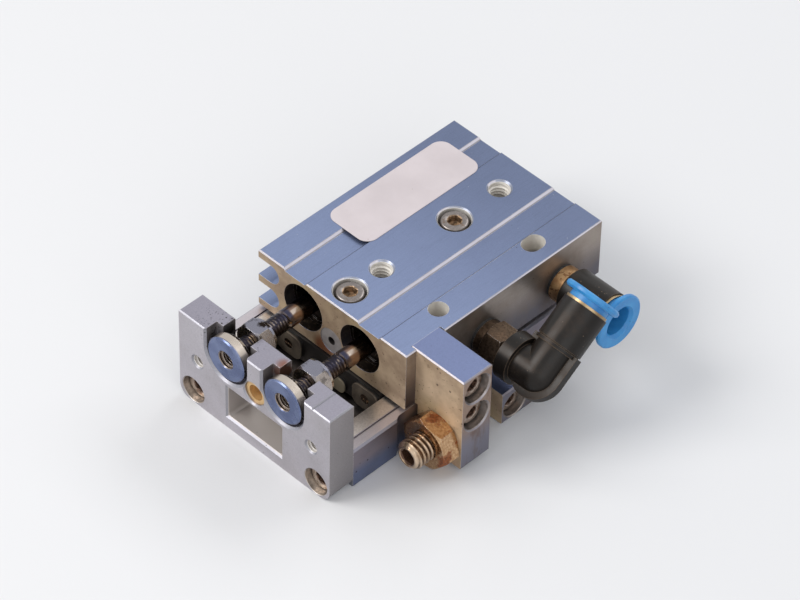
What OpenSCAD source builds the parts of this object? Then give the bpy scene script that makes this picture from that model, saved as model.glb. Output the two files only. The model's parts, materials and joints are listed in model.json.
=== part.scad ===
// Pneumatic slide table with twin cylinders, a recirculating-ball guide and two push-in air fittings.
// Millimetres. X runs across the unit, Y along its stroke (front at low Y), Z up.
// The table's mounting face is z = 0, the housing's front face is y = 0, and x = 0 is the middle.

/* [Housing] */
// Height of the whole unit, from the table face to the housing top
total_h = 24; // [23.5:0.5:30]
// Distance between the two cylinder axes
bore_pitch = 15; // [14.5:0.5:16]
// Bore of each cylinder
bore_d = 8; // [6:0.5:8.5]
// Seat of the rod cover and rear plug in the housing
cover_d = 10.2; // [9.8:0.1:10.4]
// Depth of each top mounting thread at the front
mount_thread_depth = 6.5; // [4:0.5:7]
// Depth of the two shallow channels in the top face
channel_depth = 0.6; // [0.2:0.1:0.9]

/* [Table] */
// Width of the table, which the housing follows
table_w = 40; // [39:0.5:48]
// Length of the table
table_len = 56; // [52:1:100]
// Thickness of the table floor
floor_t = 3.2; // [2.6:0.1:3.6]
// Gap between the table walls and the housing
body_gap = 0.7; // [0.4:0.1:1]
// Thickness of the yoke plate
yoke_t = 6.1; // [5.6:0.1:8]

/* [Cylinders] */
// Diameter of each piston rod
rod_d = 4; // [3:0.5:4.5]
// Length of each piston
piston_len = 10; // [8:0.5:11]
// Travel of the table towards the front, to the stop
stroke_out = 5.4; // [3:0.2:6]
// Travel of the table towards the back
stroke_in = 11.5; // [8:0.5:12]

/* [Guide] */
// Diameter of the bearing balls
ball_d = 2; // [1.8:0.1:2.2]
// Distance between the two loaded ball rows
ball_row_w = 27.4; // [27:0.2:28]
// Length of the guide block between its end plates
block_len = 32.6; // [31:0.2:34]

/* [Stops] */
// Distance that the stop block stands out beyond the table wall
stop_block_out = 11.6; // [11:0.2:16]
// Length of the stop block along the stroke
stop_block_len = 7.4; // [7:0.2:9]
// Thread diameter of the stop screw
stop_screw_d = 6; // [5:0.5:6]
// Length of the stop screw
stop_screw_len = 17.4; // [16:0.2:20]

/* [Air fittings] */
// Outside diameter of the air tube that the fittings take
tube_d = 6; // [4:0.5:6]
// Outside diameter of the fitting sleeves
sleeve_d = 9.3; // [9.2:0.1:10]
// Diameter of the release-ring flanges
flange_d = 11.5; // [10:0.1:11.6]
// Press-in travel of a release ring
release_travel = 1; // [0.6:0.1:1.2]
// Upward tilt of the elbow's outlet at rest, in degrees
elbow_tilt = 36; // [36:1:60]

/* [Hidden] */
$fn = 48;
eps = 0.02;

// Clearances
run_gap = 0.05;          // radial, between a running shaft and its bore
screw_gap = 0.05;        // radial, round a screw in its hole
ball_gap = 0.12;         // radial, between a ball and its groove
seat_gap = 0.03;         // between a piece and its recess
groove_land = 0.4;       // ring groove depth beyond the seat

// Edges
edge = 0.25;             // small broken edge
wall_edge = 0.4;         // broken edge on the table's outer top corners

// Heights
wall_h = 9.4;                       // top of the table walls
body_z = wall_h + body_gap;         // underside of the housing
bore_z = total_h - 6.6;             // cylinder axes
port_z = total_h - 8.5;             // air port axes
side_step = 0.5;                    // distance that the table stands out beyond the housing's side
front_room = 2.3;                   // room left between yoke and housing with the table right back
table_x = table_w / 2;
body_x = table_x - side_step;
bore_x = bore_pitch / 2;
table_front = -stroke_in - front_room;
yoke_front = table_front - yoke_t;

// Screws: M3 cap screws and M5 mounting threads
m3_d = 3;
m3_head_d = 5.5;
m3_head_h = 3;
m3_cbore_d = 6.3;
m3_close_d = 5.8;        // counterbore where the wall round it is thin
m3_cbore_depth = 4.5;    // counterbores on the stop block, rear stop and yoke
m3_socket = 2.5;
m5_minor_d = 4.2;
thread_mouth = 0.4;      // width of the countersink on a threaded hole
top_cbore_d = 6.5;
top_cbore_depth = 3.3;
cbore_edge = 0.3;        // width of the bevel round a counterbore
close_edge = 0.15;       // the same where the wall is thin

// Cylinder train, front to back
ring_y = 2.5;
ring_t = 0.9;
ring_inner_d = cover_d - 1.4;
ring_opening = 2.8;
cover_y = ring_y + ring_t + 0.1;
cover_len = 9.9;
cover_dish_d = 8.7;      // dished front of the rod cover
cover_dish_len = 4.1;
seal_y = cover_y + cover_dish_len + 1.2;
seal_t = 1.8;
rod_seal_d = rod_d + 3;  // outside of the rod seal
bumper_t = 1.2;
end_space = 0.4;         // space left between piston and bumper at each end
front_bumper_y = cover_y + cover_len;
piston_y = front_bumper_y + bumper_t + stroke_out + end_space + 0.1;
rear_bumper_y = piston_y + piston_len + stroke_in + end_space;
rear_plug_y = rear_bumper_y + bumper_t;
rear_plug_len = 6.5;
plug_groove_d = cover_d - 2.2;
plug_groove_y = rear_plug_y + 1.6;
plug_groove_w = 1.8;
puller_d = 3;            // blind hole for pulling the rear plug out
puller_depth = 1.8;
rear_ring_y = rear_plug_y + rear_plug_len;
housing_len = rear_ring_y + 1.9;
piston_seal_y = piston_y + 1.4;
piston_seal_w = 1.4;
piston_groove_d = bore_d - 2;
magnet_y = piston_y + 4.2;
magnet_w = 2.4;
magnet_bore_d = 5;

// Housing features
mount_y1 = 13;
mount_y2 = housing_len - 7.6;
guide_screw_y1 = 4.8;
guide_screw_y2 = guide_screw_y1 + 27.5;
dowel_x = bore_x + 7.3;
dowel_d = 4;
dowel_depth = 4.5;
dowel_slot_y = mount_y2 - 6.2;
dowel_slot_len = 5;
channel_out_x = 12.9;
channel_in_x = 6.6;
slot_h = 4.4;            // sensor slot height
slot_reach = 5.5;        // sensor slot depth
slot_z1 = total_h - 4;
slot_z2 = body_z + 3.8;
plug_d = 5.6;
plug_z = total_h - 10;
plug_depth = 2;
plug_hole_d = 1.5;
label_w = 11.3;
label_len = 31;
label_x = -11.9;
label_y = housing_len / 2 + 4.9;
label_t = 0.15;
label_r = 2.5;

// Yoke and rods
slot_front_d = 10.8;     // T-slot width at the front
slot_back_d = 7.3;       // T-slot width at the back
slot_front_depth = 3;
slot_edge = 0.45;        // bevel round the front of the T-slot
button_d = 9.6;
button_t = 2.1;
button_step_d = 8.3;     // part of the button that bears on the T-slot's shoulder
button_step_y = yoke_front + slot_front_depth - 0.05;
button_hub_d = 5.2;
button_hub_y = button_step_y + 0.6;
button_thread_d = rod_d - 0.3;
stub_d = rod_d - 0.4;    // rod end inside the button
rod_thread_d = rod_d - 0.1;
rod_thread_y = table_front + 8.2;
neck_d = rod_d - 0.8;
neck_len = 0.5;
nut_af = 7;
nut_t = 3.2;
nut_y = table_front + 0.15;
nut_face_d = nut_af - 0.4;
nut_face_t = 0.6;
yoke_h = total_h - 2.4;
yoke_screw_x = table_x - 3.6;
yoke_screw_z = 3.1;
yoke_screw_len = 7;
yoke_thread_x = bore_x + 7.6;
yoke_thread_z = bore_z - 6;
yoke_thread_d = 2.5;
yoke_line_x = bore_x + 7.9;
yoke_line = 0.25;        // half the width of the V line on top of the right post
window_w = 14.3;
window_z1 = 2.9;
window_z2 = 10.5;
window_r = 0.8;
bush_d = 5.1;
bush_z = bore_z - 3.4;
bush_bore_d = 3.4;
yoke_corner_r = 2.6;

// Guide
ball_x = ball_row_w / 2;
ball_z = 6.8;
groove_r = ball_d / 2 + ball_gap;
race_gap = 0.4;                       // between guide block and race
block_x = ball_x - race_gap / 2;
race_x = ball_x + race_gap / 2;       // inner face of each race
race_w = 3.3;
race_z = 5.1;
block_z = floor_t + 0.6;
block_y = 2.6;
plate_t = 0.4;
cap_t = 2.7;
turn_r = 2;                           // radius of each ball return
return_x = ball_x - 2 * turn_r;
turn_x = ball_x - turn_r;
lobe_w = 6.6;
lobe_h = 5.4;
lobe_t = 0.75;
lobe_r = 1.7;
lobe_x = block_x - lobe_w / 2;
lobe_z = ball_z + 0.1;
pad_w = 9.6;                          // middle pad between the two lobes
pad_h = 3.2;
pad_r = 1.3;
grease_d = 0.8;
grease_plug_d = 2.2;
grease_plug_t = 0.35;
ball_pitch = ball_d + 0.15;
guide_edge = 0.2;
guide_thread_floor = 1;               // block left under the screw holes
guide_screw_len = total_h - top_cbore_depth - block_z - guide_thread_floor - 1;

// Seats of the race strips in the table walls
seat_x = race_x + race_w;
seat_groove_w = 0.4;
payload_x = 10;
payload_y1 = table_front + 16;
payload_y2 = payload_y1 + 30;
payload_hole_d = 3.3;

// Stops
recess_x = body_x - 1.3;
stop_y = 2.6;
stop_block_x = table_x + stop_block_out;
stop_block_z = 1.4;
block_foot_x = table_x + 0.2;
stop_screw_x = table_x + 5.85;
stop_screw_z = 6.5;
stop_end_y = stop_y + stop_block_len + 1.6;
stop_screw_edge = 0.8;
stop_nut_af = stop_screw_d + 4;
stop_nut_t = 4;
stop_nut_turn = -13;      // angle of the nut's first corner from +X, in degrees
stop_socket = stop_screw_d / 2;
block_screw_z1 = total_h - 4;
block_screw_z2 = total_h - 11;
block_screw_y = stop_y + stop_block_len / 2 + 0.1;
relief_x = table_x - 0.8;
relief_y = -2.9;
relief_len = 16;
relief_r = 2;
rear_stop_y = stop_end_y + stroke_out + 0.2;
rear_stop_len = 9;
rear_stop_x = table_x + 8;
rear_stop_h = 7.7;
rear_stop_z = 0.2;
rear_screw_z = 3.5;
rear_screw_y = rear_stop_y + 3.4;
wall_screw_reach = 4.5;   // screw length inside a table wall
screw_end_wall = 1.1;     // housing left between a stop-block screw and the rod cover's seat
block_screw_reach = recess_x - bore_x - cover_d / 2 - screw_end_wall;

// Fittings
port_a_y = 20.6;
port_b_y = rear_bumper_y - 1.35;
port_depth = 5.5;
passage_d = 1.6;
passage_len = 7;
cross_d = 1.2;           // drilling that joins the two bores
cross_drop = 1.4;        // distance of that drilling below the bore axes
slope_a = 52;            // slant of each port's drilling, in degrees
slope_b = -15;
gasket_d = 7.2;
gasket_t = 0.6;
stud_collar_d = 7.5;
stud_collar_t = 1.7;
stud_hex_af = 8;
stud_hex_t = 4.4;
stud_thread_d = m5_minor_d - 2 * screw_gap;
flow_d = 2.2;
elbow_x = body_x + 14.1;
hub_r = 5;               // round hub of the elbow, next to the hexagon
hub_len = 2.9;
core_r = 4;              // round core of the elbow
web_r = 5.25;            // flat web round the outside of the core
web_t = 2;
swivel_d = 4.6;
joint_u = 6.2;           // lower end of the elbow's sleeve, from the swivel axis
joint_flange_t = 0.7;
joint_groove = 0.25;
sleeve_end_u = 14.8;
collar_t = 0.5;
ring_neck_d = 8.2;
ring_neck_len = 3.6;
flange_t = 1.3;
tube_hole_d = tube_d + 0.1;
socket_len = 2.1;
ring_bore_len = ring_neck_len + 0.6;
collet_t = 0.4;
collet_u = 0.45 - ring_neck_len;     // collet and tube seal, from the sleeve's end
seal_u = -ring_neck_len - 0.58;
tube_seal_t = 1;
swivel_x = body_x + gasket_t + stud_collar_t + stud_hex_t + 0.3;
straight_x = body_x + 3.1;
straight_end_x = straight_x + 9.5;

// ---------- helpers ----------

// Profile drawn in X and Z, extruded from y0 to y1
module along_y(y0, y1) {
    translate([0, y1, 0]) rotate([90, 0, 0]) linear_extrude(height = y1 - y0) children();
}

// Profile drawn in Y and Z, extruded from x0 to x1
module along_x(x0, x1) {
    translate([x0, 0, 0]) rotate([90, 0, 90]) linear_extrude(height = x1 - x0) children();
}

module rod_x(y, z, x0, x1, d) {
    translate([x0, y, z]) rotate([0, 90, 0]) cylinder(d = d, h = x1 - x0);
}

module rod_y(x, z, y0, y1, d) {
    translate([x, y0, z]) rotate([-90, 0, 0]) cylinder(d = d, h = y1 - y0);
}

module rod_z(x, y, z0, z1, d) {
    translate([x, y, z0]) cylinder(d = d, h = z1 - z0);
}

// Ring on an axis along Y
module ring_along_y(x, z, y0, y1, outer_d, inner_d) {
    difference() {
        rod_y(x, z, y0, y1, outer_d);
        rod_y(x, z, y0 - 1, y1 + 1, inner_d);
    }
}

// Hexagon prism along Y, flats up and down
module hex_y(x, z, y0, y1, af) {
    translate([x, y0, z]) rotate([-90, 0, 0]) cylinder(d = af / cos(30), h = y1 - y0, $fn = 6);
}

// Hexagon nut along Y with turned corners
module hex_nut_y(x, z, y0, y1, af) {
    intersection() {
        hex_y(x, z, y0, y1, af);
        translate([x, y0, z]) rotate([-90, 0, 0]) union() {
            cylinder(d1 = af, d2 = af * 1.16, h = 0.5);
            translate([0, 0, 0.5]) cylinder(d = af * 1.16, h = y1 - y0 - 1);
            translate([0, 0, y1 - y0 - 0.5]) cylinder(d1 = af * 1.16, d2 = af, h = 0.5);
        }
    }
}

// Cap screw along +Z with its head underside at z = 0 and its shank below
module cap_screw(d, head_d, head_h, len, socket) {
    difference() {
        union() {
            cylinder(d = head_d, h = head_h - 0.3);
            translate([0, 0, head_h - 0.3]) cylinder(d1 = head_d, d2 = head_d - 0.6, h = 0.3);
            translate([0, 0, -len]) cylinder(d = d, h = len + eps);
        }
        translate([0, 0, head_h - 1.6]) cylinder(d = socket / cos(30), h = 2, $fn = 6);
    }
}

module m3_screw(len) {
    cap_screw(m3_d, m3_head_d, m3_head_h, len, m3_socket);
}

// Bevel round a hole's mouth along +Z, with the surface at z = 0
module mouth(d, width) {
    translate([0, 0, -width]) cylinder(d1 = d, d2 = d + 2 * (width + eps), h = width + eps);
}

// Counterbore along +Z for a sunk cap screw, with its bevel, and the surface at z = 0
module counterbore(d, depth, bevel) {
    translate([0, 0, -depth]) cylinder(d = d, h = depth + 1);
    mouth(d, bevel);
}

module rounded_rect(w, h, r) {
    square([w - 2 * r, h], center = true);
    square([w, h - 2 * r], center = true);
    for (x = [-1, 1], y = [-1, 1]) translate([x * (w / 2 - r), y * (h / 2 - r)]) circle(r = r);
}

// ---------- housing ----------

module slot_profile(z) {
    translate([-body_x + slot_reach - slot_h / 2, z]) circle(d = slot_h);
    translate([-body_x - 1, z - slot_h / 2]) square([slot_reach - slot_h / 2 + 1, slot_h]);
}

module channel_profile(x0, x1) {
    polygon([
        [x0, total_h + eps], [x0 + channel_depth, total_h - channel_depth],
        [x1 - channel_depth, total_h - channel_depth], [x1, total_h + eps]
    ]);
}

module housing_profile() {
    difference() {
        polygon([
            [-body_x, body_z + edge], [-body_x + edge, body_z], [body_x - edge, body_z],
            [body_x, body_z + edge], [body_x, total_h - edge], [body_x - edge, total_h],
            [-body_x + edge, total_h], [-body_x, total_h - edge]
        ]);
        slot_profile(slot_z1);
        slot_profile(slot_z2);
        channel_profile(-channel_out_x, -channel_in_x);
        channel_profile(channel_in_x, channel_out_x);
    }
}

module housing_side_outline() {
    polygon([
        [0, body_z - 1], [housing_len, body_z - 1], [housing_len, total_h - edge],
        [housing_len - edge, total_h], [edge, total_h], [0, total_h - edge]
    ]);
}

// Slanted drilling from the bottom of a port to the nearer bore
module air_passage(y, slope) {
    translate([body_x - port_depth + 1, y, port_z]) rotate([0, 0, slope])
        rotate([0, -90, 0]) cylinder(d = passage_d, h = passage_len);
}

module housing() {
    color("#b9bfcc") difference() {
        intersection() {
            along_y(0, housing_len) housing_profile();
            along_x(-body_x - 1, body_x + 1) housing_side_outline();
        }
        for (x = [-bore_x, bore_x]) {
            rod_y(x, bore_z, -1, housing_len + 1, bore_d);
            rod_y(x, bore_z, -1, front_bumper_y, cover_d);
            rod_y(x, bore_z, rear_plug_y, housing_len + 1, cover_d);
            rod_y(x, bore_z, ring_y, ring_y + ring_t + 0.1, cover_d + 2 * groove_land);
            rod_y(x, bore_z, rear_ring_y, rear_ring_y + ring_t + 0.1, cover_d + 2 * groove_land);
        }
        rod_y(0, plug_z, -1, plug_depth, plug_d + 2 * seat_gap);
        rod_z(0, mount_y1, total_h - mount_thread_depth, total_h + 1, m5_minor_d);
        rod_z(0, mount_y2, body_z - 1, total_h + 1, m5_minor_d);
        for (y = [mount_y1, mount_y2]) translate([0, y, total_h]) mouth(m5_minor_d, thread_mouth);
        for (y = [guide_screw_y1, guide_screw_y2]) {
            translate([0, y, total_h]) counterbore(top_cbore_d, top_cbore_depth, cbore_edge);
            rod_z(0, y, body_z - 1, total_h, m3_d + 2 * screw_gap);
        }
        rod_z(dowel_x, mount_y1, total_h - dowel_depth, total_h + 1, dowel_d);
        for (y = [-1, 1] * (dowel_slot_len - dowel_d) / 2)
            rod_z(dowel_x, dowel_slot_y + y, total_h - dowel_depth, total_h + 1, dowel_d);
        translate([dowel_x - dowel_d / 2, dowel_slot_y - (dowel_slot_len - dowel_d) / 2,
                   total_h - dowel_depth])
            cube([dowel_d, dowel_slot_len - dowel_d, dowel_depth + 1]);
        translate([recess_x, stop_y - seat_gap, body_z - 1])
            cube([5, stop_block_len + 2 * seat_gap, total_h]);
        for (z = [block_screw_z1, block_screw_z2])
            rod_x(block_screw_y, z, recess_x - block_screw_reach - 0.2, recess_x + 1,
                  m3_d + 2 * screw_gap);
        for (y = [port_a_y, port_b_y])
            rod_x(y, port_z, body_x - port_depth, body_x + 1, m5_minor_d);
        air_passage(port_a_y, slope_a);
        air_passage(port_b_y, slope_b);
        for (y = [front_bumper_y + bumper_t + cross_d, rear_bumper_y - cross_d])
            rod_x(y, bore_z - cross_drop, -bore_x, bore_x, cross_d);
    }
}

module front_plug() {
    color("#d8d4cc") difference() {
        rod_y(0, plug_z, 0.1, plug_depth, plug_d);
        rod_y(0, plug_z, -1, plug_depth - 0.5, plug_hole_d);
    }
}

module label() {
    color("#e8e2e0") translate([label_x, label_y, total_h]) linear_extrude(height = label_t)
        hull() for (sx = [-1, 1], sy = [-1, 1])
            translate([sx * (label_w / 2 - label_r), sy * (label_len / 2 - label_r)])
                circle(r = label_r, $fn = 24);
}

// ---------- inside the bores ----------

// Open retaining ring lying in a groove
module retaining_ring(x, y) {
    difference() {
        ring_along_y(x, bore_z, y + 0.03, y + ring_t, cover_d + 2 * groove_land - 0.1, ring_inner_d);
        translate([x - ring_opening / 2, y - 1, bore_z - cover_d]) cube([ring_opening, 3, cover_d]);
    }
}

module front_rings() {
    color("#3c3a3a") for (x = [-bore_x, bore_x]) retaining_ring(x, ring_y);
}

module rear_rings() {
    color("#3c3a3a") for (x = [-bore_x, bore_x]) retaining_ring(x, rear_ring_y);
}

module rod_covers() {
    color("#5a5550") for (x = [-bore_x, bore_x]) difference() {
        rod_y(x, bore_z, cover_y, front_bumper_y, cover_d - 2 * seat_gap);
        translate([x, cover_y - eps, bore_z]) rotate([-90, 0, 0])
            cylinder(d1 = cover_dish_d, d2 = rod_d + 1, h = cover_dish_len + eps);
        rod_y(x, bore_z, cover_y, front_bumper_y + 1, rod_d + 2 * run_gap);
        rod_y(x, bore_z, seal_y, seal_y + seal_t, rod_seal_d);
    }
}

module rod_seals() {
    color("#232323") for (x = [-bore_x, bore_x])
        ring_along_y(x, bore_z, seal_y + seat_gap, seal_y + seal_t - seat_gap,
                     rod_seal_d - 2 * seat_gap, rod_d + 2 * run_gap);
}

module front_bumpers() {
    color("#2c2c2c") for (x = [-bore_x, bore_x])
        ring_along_y(x, bore_z, front_bumper_y + seat_gap, front_bumper_y + bumper_t,
                     bore_d - 2 * seat_gap, rod_d + 0.6);
}

module rear_bumpers() {
    color("#2c2c2c") for (x = [-bore_x, bore_x])
        rod_y(x, bore_z, rear_bumper_y, rear_plug_y - seat_gap, bore_d - 2 * seat_gap);
}

module rear_plugs() {
    color("#a8acb4") for (x = [-bore_x, bore_x]) difference() {
        rod_y(x, bore_z, rear_plug_y, rear_ring_y, cover_d - 2 * seat_gap);
        ring_along_y(x, bore_z, plug_groove_y, plug_groove_y + plug_groove_w, cover_d + 1, plug_groove_d);
        rod_y(x, bore_z, rear_ring_y - puller_depth, rear_ring_y + 1, puller_d);
    }
}

module rear_plug_seals() {
    color("#232323") for (x = [-bore_x, bore_x])
        ring_along_y(x, bore_z, plug_groove_y + 0.1, plug_groove_y + plug_groove_w - 0.1,
                     cover_d - 2 * seat_gap, plug_groove_d + 2 * seat_gap);
}

module pistons() {
    color("#c8ccd2") for (x = [-bore_x, bore_x]) difference() {
        rod_y(x, bore_z, piston_y, piston_y + piston_len, bore_d - 2 * run_gap);
        ring_along_y(x, bore_z, piston_seal_y, piston_seal_y + piston_seal_w, bore_d + 1, piston_groove_d);
        ring_along_y(x, bore_z, magnet_y, magnet_y + magnet_w, bore_d + 1, magnet_bore_d);
        rod_y(x, bore_z, piston_y - 1, piston_y + piston_len - 1.5, rod_d - 0.8);
    }
}

module piston_seals() {
    color("#232323") for (x = [-bore_x, bore_x])
        ring_along_y(x, bore_z, piston_seal_y + seat_gap, piston_seal_y + piston_seal_w - seat_gap,
                     bore_d - 2 * run_gap, piston_groove_d + 2 * seat_gap);
}

module magnets() {
    color("#4a4a50") for (x = [-bore_x, bore_x])
        ring_along_y(x, bore_z, magnet_y + seat_gap, magnet_y + magnet_w - seat_gap,
                     bore_d - 0.4, magnet_bore_d + 2 * seat_gap);
}

// ---------- rods and yoke ----------

module piston_rod(x) {
    shaft_y = rod_thread_y + neck_len;
    rod_y(x, bore_z, yoke_front + 1.4, button_hub_y + eps, stub_d);
    rod_y(x, bore_z, button_hub_y, rod_thread_y, rod_thread_d);
    rod_y(x, bore_z, rod_thread_y - eps, shaft_y + eps, neck_d);
    rod_y(x, bore_z, shaft_y, piston_y, rod_d);
    rod_y(x, bore_z, piston_y - eps, piston_y + piston_len - 2, rod_d - 0.9);
}

module rod_left() {
    color("#8f8a84") piston_rod(-bore_x);
}

module rod_right() {
    color("#8f8a84") piston_rod(bore_x);
}

module rod_nuts() {
    color("#c9b48a") for (x = [-bore_x, bore_x]) difference() {
        union() {
            hex_nut_y(x, bore_z, nut_y, nut_y + nut_t, nut_af);
            rod_y(x, bore_z, nut_y + nut_t - eps, nut_y + nut_t + nut_face_t, nut_face_d);
        }
        rod_y(x, bore_z, nut_y - 1, nut_y + nut_t + nut_face_t + 1, rod_thread_d + 2 * screw_gap);
    }
}

module rod_buttons() {
    color("#b8bec8") for (x = [-bore_x, bore_x]) difference() {
        union() {
            rod_y(x, bore_z, yoke_front + edge, yoke_front + button_t, button_d);
            translate([x, yoke_front, bore_z]) rotate([-90, 0, 0])
                cylinder(d1 = button_d - 2 * edge, d2 = button_d, h = edge + eps);
            rod_y(x, bore_z, yoke_front + button_t - eps, button_step_y, button_step_d);
            rod_y(x, bore_z, button_step_y - eps, button_hub_y, button_hub_d);
        }
        rod_y(x, bore_z, yoke_front - 1, button_hub_y + 1, button_thread_d);
        translate([x, yoke_front, bore_z]) rotate([90, 0, 0]) mouth(button_thread_d, edge);
    }
}

module t_slot(width) {
    for (x = [-bore_x, bore_x]) {
        translate([x, bore_z]) circle(d = width);
        translate([x - width / 2, bore_z]) square([width, yoke_h]);
    }
}

module yoke_profile() {
    difference() {
        polygon([
            [-table_x + yoke_corner_r, 0], [table_x - yoke_corner_r, 0],
            [table_x, yoke_corner_r], [table_x, yoke_h - edge], [table_x - edge, yoke_h],
            [-table_x + edge, yoke_h], [-table_x, yoke_h - edge], [-table_x, yoke_corner_r]
        ]);
        translate([0, (window_z1 + window_z2) / 2])
            rounded_rect(window_w, window_z2 - window_z1, window_r);
        translate([yoke_line_x, yoke_h])
            polygon([[-yoke_line - eps, eps], [0, -yoke_line], [yoke_line + eps, eps]]);
    }
    for (side = [-1, 1]) translate([side * (table_x - yoke_corner_r), yoke_corner_r])
        circle(r = yoke_corner_r);
}

// Bevel round the front of the T-slot
module t_slot_mouth() {
    half = slot_front_d / 2;
    for (x = [-bore_x, bore_x]) {
        translate([x, yoke_front, bore_z]) rotate([90, 0, 0]) mouth(slot_front_d, slot_edge);
        translate([x, yoke_front, bore_z]) linear_extrude(height = yoke_h - bore_z + 1) polygon([
            [-half - slot_edge - eps, -eps], [half + slot_edge + eps, -eps],
            [half, slot_edge], [-half, slot_edge]
        ]);
    }
}

// Bevel round the front of the window: a flat pyramid, made where two prisms cross
module window_mouth() {
    half = window_w / 2;
    wide = slot_edge + eps;
    intersection() {
        along_x(-half - 1, half + 1) polygon([
            [yoke_front - eps, window_z1 - wide], [yoke_front + slot_edge, window_z1],
            [yoke_front + slot_edge, window_z2], [yoke_front - eps, window_z2 + wide]
        ]);
        translate([0, yoke_front, 0]) linear_extrude(height = window_z2 + 1) polygon([
            [-half - wide, -eps], [half + wide, -eps], [half, slot_edge], [-half, slot_edge]
        ]);
    }
}

module yoke_side_outline() {
    polygon([
        [yoke_front, -1], [table_front, -1], [table_front, yoke_h - edge],
        [table_front - edge, yoke_h], [yoke_front + edge, yoke_h], [yoke_front, yoke_h - edge]
    ]);
}

module yoke() {
    color("#a9a9b4") difference() {
        intersection() {
            along_y(yoke_front, table_front) yoke_profile();
            along_x(-table_x - 1, table_x + 1) yoke_side_outline();
        }
        along_y(yoke_front - 1, table_front + 1) t_slot(slot_back_d);
        along_y(yoke_front - 1, yoke_front + slot_front_depth) t_slot(slot_front_d);
        t_slot_mouth();
        window_mouth();
        for (side = [-1, 1]) {
            rod_y(side * yoke_thread_x, yoke_thread_z, yoke_front - 1, table_front + 1, yoke_thread_d);
            rod_y(side * yoke_screw_x, yoke_screw_z, yoke_front - 1, table_front + 1,
                  m3_d + 2 * screw_gap);
            translate([side * yoke_thread_x, yoke_front, yoke_thread_z]) rotate([90, 0, 0])
                mouth(yoke_thread_d, thread_mouth);
            translate([side * yoke_screw_x, yoke_front, yoke_screw_z]) rotate([90, 0, 0])
                counterbore(m3_close_d, m3_cbore_depth, close_edge);
        }
        rod_y(0, bush_z, yoke_front - 1, table_front + 1, bush_d);
        translate([0, yoke_front, bush_z]) rotate([90, 0, 0]) mouth(bush_d, cbore_edge);
    }
}

module yoke_screws() {
    color("#8a6f5c") for (side = [-1, 1])
        translate([side * yoke_screw_x, yoke_front + m3_cbore_depth, yoke_screw_z])
            rotate([90, 0, 0]) m3_screw(yoke_screw_len);
}

module yoke_bush() {
    color("#c99a4a") difference() {
        rod_y(0, bush_z, yoke_front + 0.6, table_front, bush_d - 2 * seat_gap);
        rod_y(0, bush_z, yoke_front - 1, table_front + 1, bush_bore_d);
    }
}

// ---------- table ----------

module table_profile() {
    difference() {
        polygon([
            [-table_x + edge, 0], [table_x - edge, 0], [table_x, edge],
            [table_x, wall_h - wall_edge], [table_x - wall_edge, wall_h],
            [seat_x + seat_gap, wall_h], [seat_x + seat_gap, race_z], [race_x + 0.2, race_z],
            [race_x + 0.2, floor_t], [-race_x - 0.2, floor_t], [-race_x - 0.2, race_z],
            [-seat_x - seat_gap, race_z], [-seat_x - seat_gap, wall_h],
            [-table_x + wall_edge, wall_h], [-table_x, wall_h - wall_edge], [-table_x, edge]
        ]);
        for (side = [-1, 1]) translate([side * (seat_x + 0.4), wall_h])
            square([seat_groove_w, 2 * seat_groove_w], center = true);
    }
}

module table() {
    table_end = table_front + table_len;
    color("#a4a8b4") difference() {
        along_y(table_front, table_end) table_profile();
        translate([relief_x, relief_y + relief_r, -1]) cube([5, relief_len - relief_r, wall_h + 2]);
        rod_z(relief_x + relief_r, relief_y + relief_r, -1, wall_h + 1, 2 * relief_r);
        for (side = [-1, 1])
            rod_y(side * yoke_screw_x, yoke_screw_z, table_front - 1,
                  table_front + 6, m3_d + 2 * screw_gap);
        rod_x(rear_screw_y, rear_screw_z, table_x - wall_screw_reach - 0.3, table_x + 1,
              m3_d + 2 * screw_gap);
        for (x = [-payload_x, payload_x], y = [payload_y1, payload_y2])
            rod_z(x, y, -1, floor_t + 1, payload_hole_d);
        for (x = [-payload_x, payload_x], y = [payload_y1, payload_y2])
            translate([x, y, 0]) rotate([180, 0, 0]) mouth(payload_hole_d, thread_mouth);
    }
}

module race(side) {
    table_end = table_front + table_len;
    inner = side > 0 ? race_x : -race_x - race_w;
    difference() {
        translate([inner, table_front + 0.05, race_z])
            cube([race_w, table_len - 0.1, wall_h - race_z]);
        rod_y(side * ball_x, ball_z, table_front - 1, table_end + 1, 2 * groove_r);
    }
}

module race_left() {
    color("#cfc9bd") race(-1);
}

module race_right() {
    color("#cfc9bd") race(1);
}

// ---------- guide ----------

module guide_profile() {
    difference() {
        polygon([
            [-block_x, block_z + 0.3], [-block_x + 0.3, block_z], [block_x - 0.3, block_z],
            [block_x, block_z + 0.3], [block_x, body_z], [-block_x, body_z]
        ]);
        for (side = [-1, 1]) {
            translate([side * ball_x, ball_z]) circle(r = groove_r);
            translate([side * return_x, ball_z]) circle(r = groove_r);
        }
    }
}

module guide_block() {
    color("#8d8f94") difference() {
        along_y(block_y, block_y + block_len) guide_profile();
        for (y = [guide_screw_y1, guide_screw_y2])
            rod_z(0, y, block_z + guide_thread_floor, body_z + 1, m3_d + 2 * screw_gap);
    }
}

module guide_screws() {
    color("#a58a72") for (y = [guide_screw_y1, guide_screw_y2])
        translate([0, y, total_h - top_cbore_depth]) m3_screw(guide_screw_len);
}

module end_outline() {
    translate([-block_x, block_z + guide_edge])
        square([2 * block_x, body_z - block_z - 2 * guide_edge]);
}

// Plate between block and end cap, open where the balls pass
module end_plate(y0, y1) {
    along_y(y0, y1) difference() {
        end_outline();
        for (side = [-1, 1], x = [ball_x, return_x])
            translate([side * x, ball_z]) circle(r = groove_r);
    }
}

module end_plate_front() {
    color("#b4aca0") end_plate(block_y - plate_t, block_y);
}

module end_plate_rear() {
    color("#b4aca0") end_plate(block_y + block_len, block_y + block_len + plate_t);
}

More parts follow.
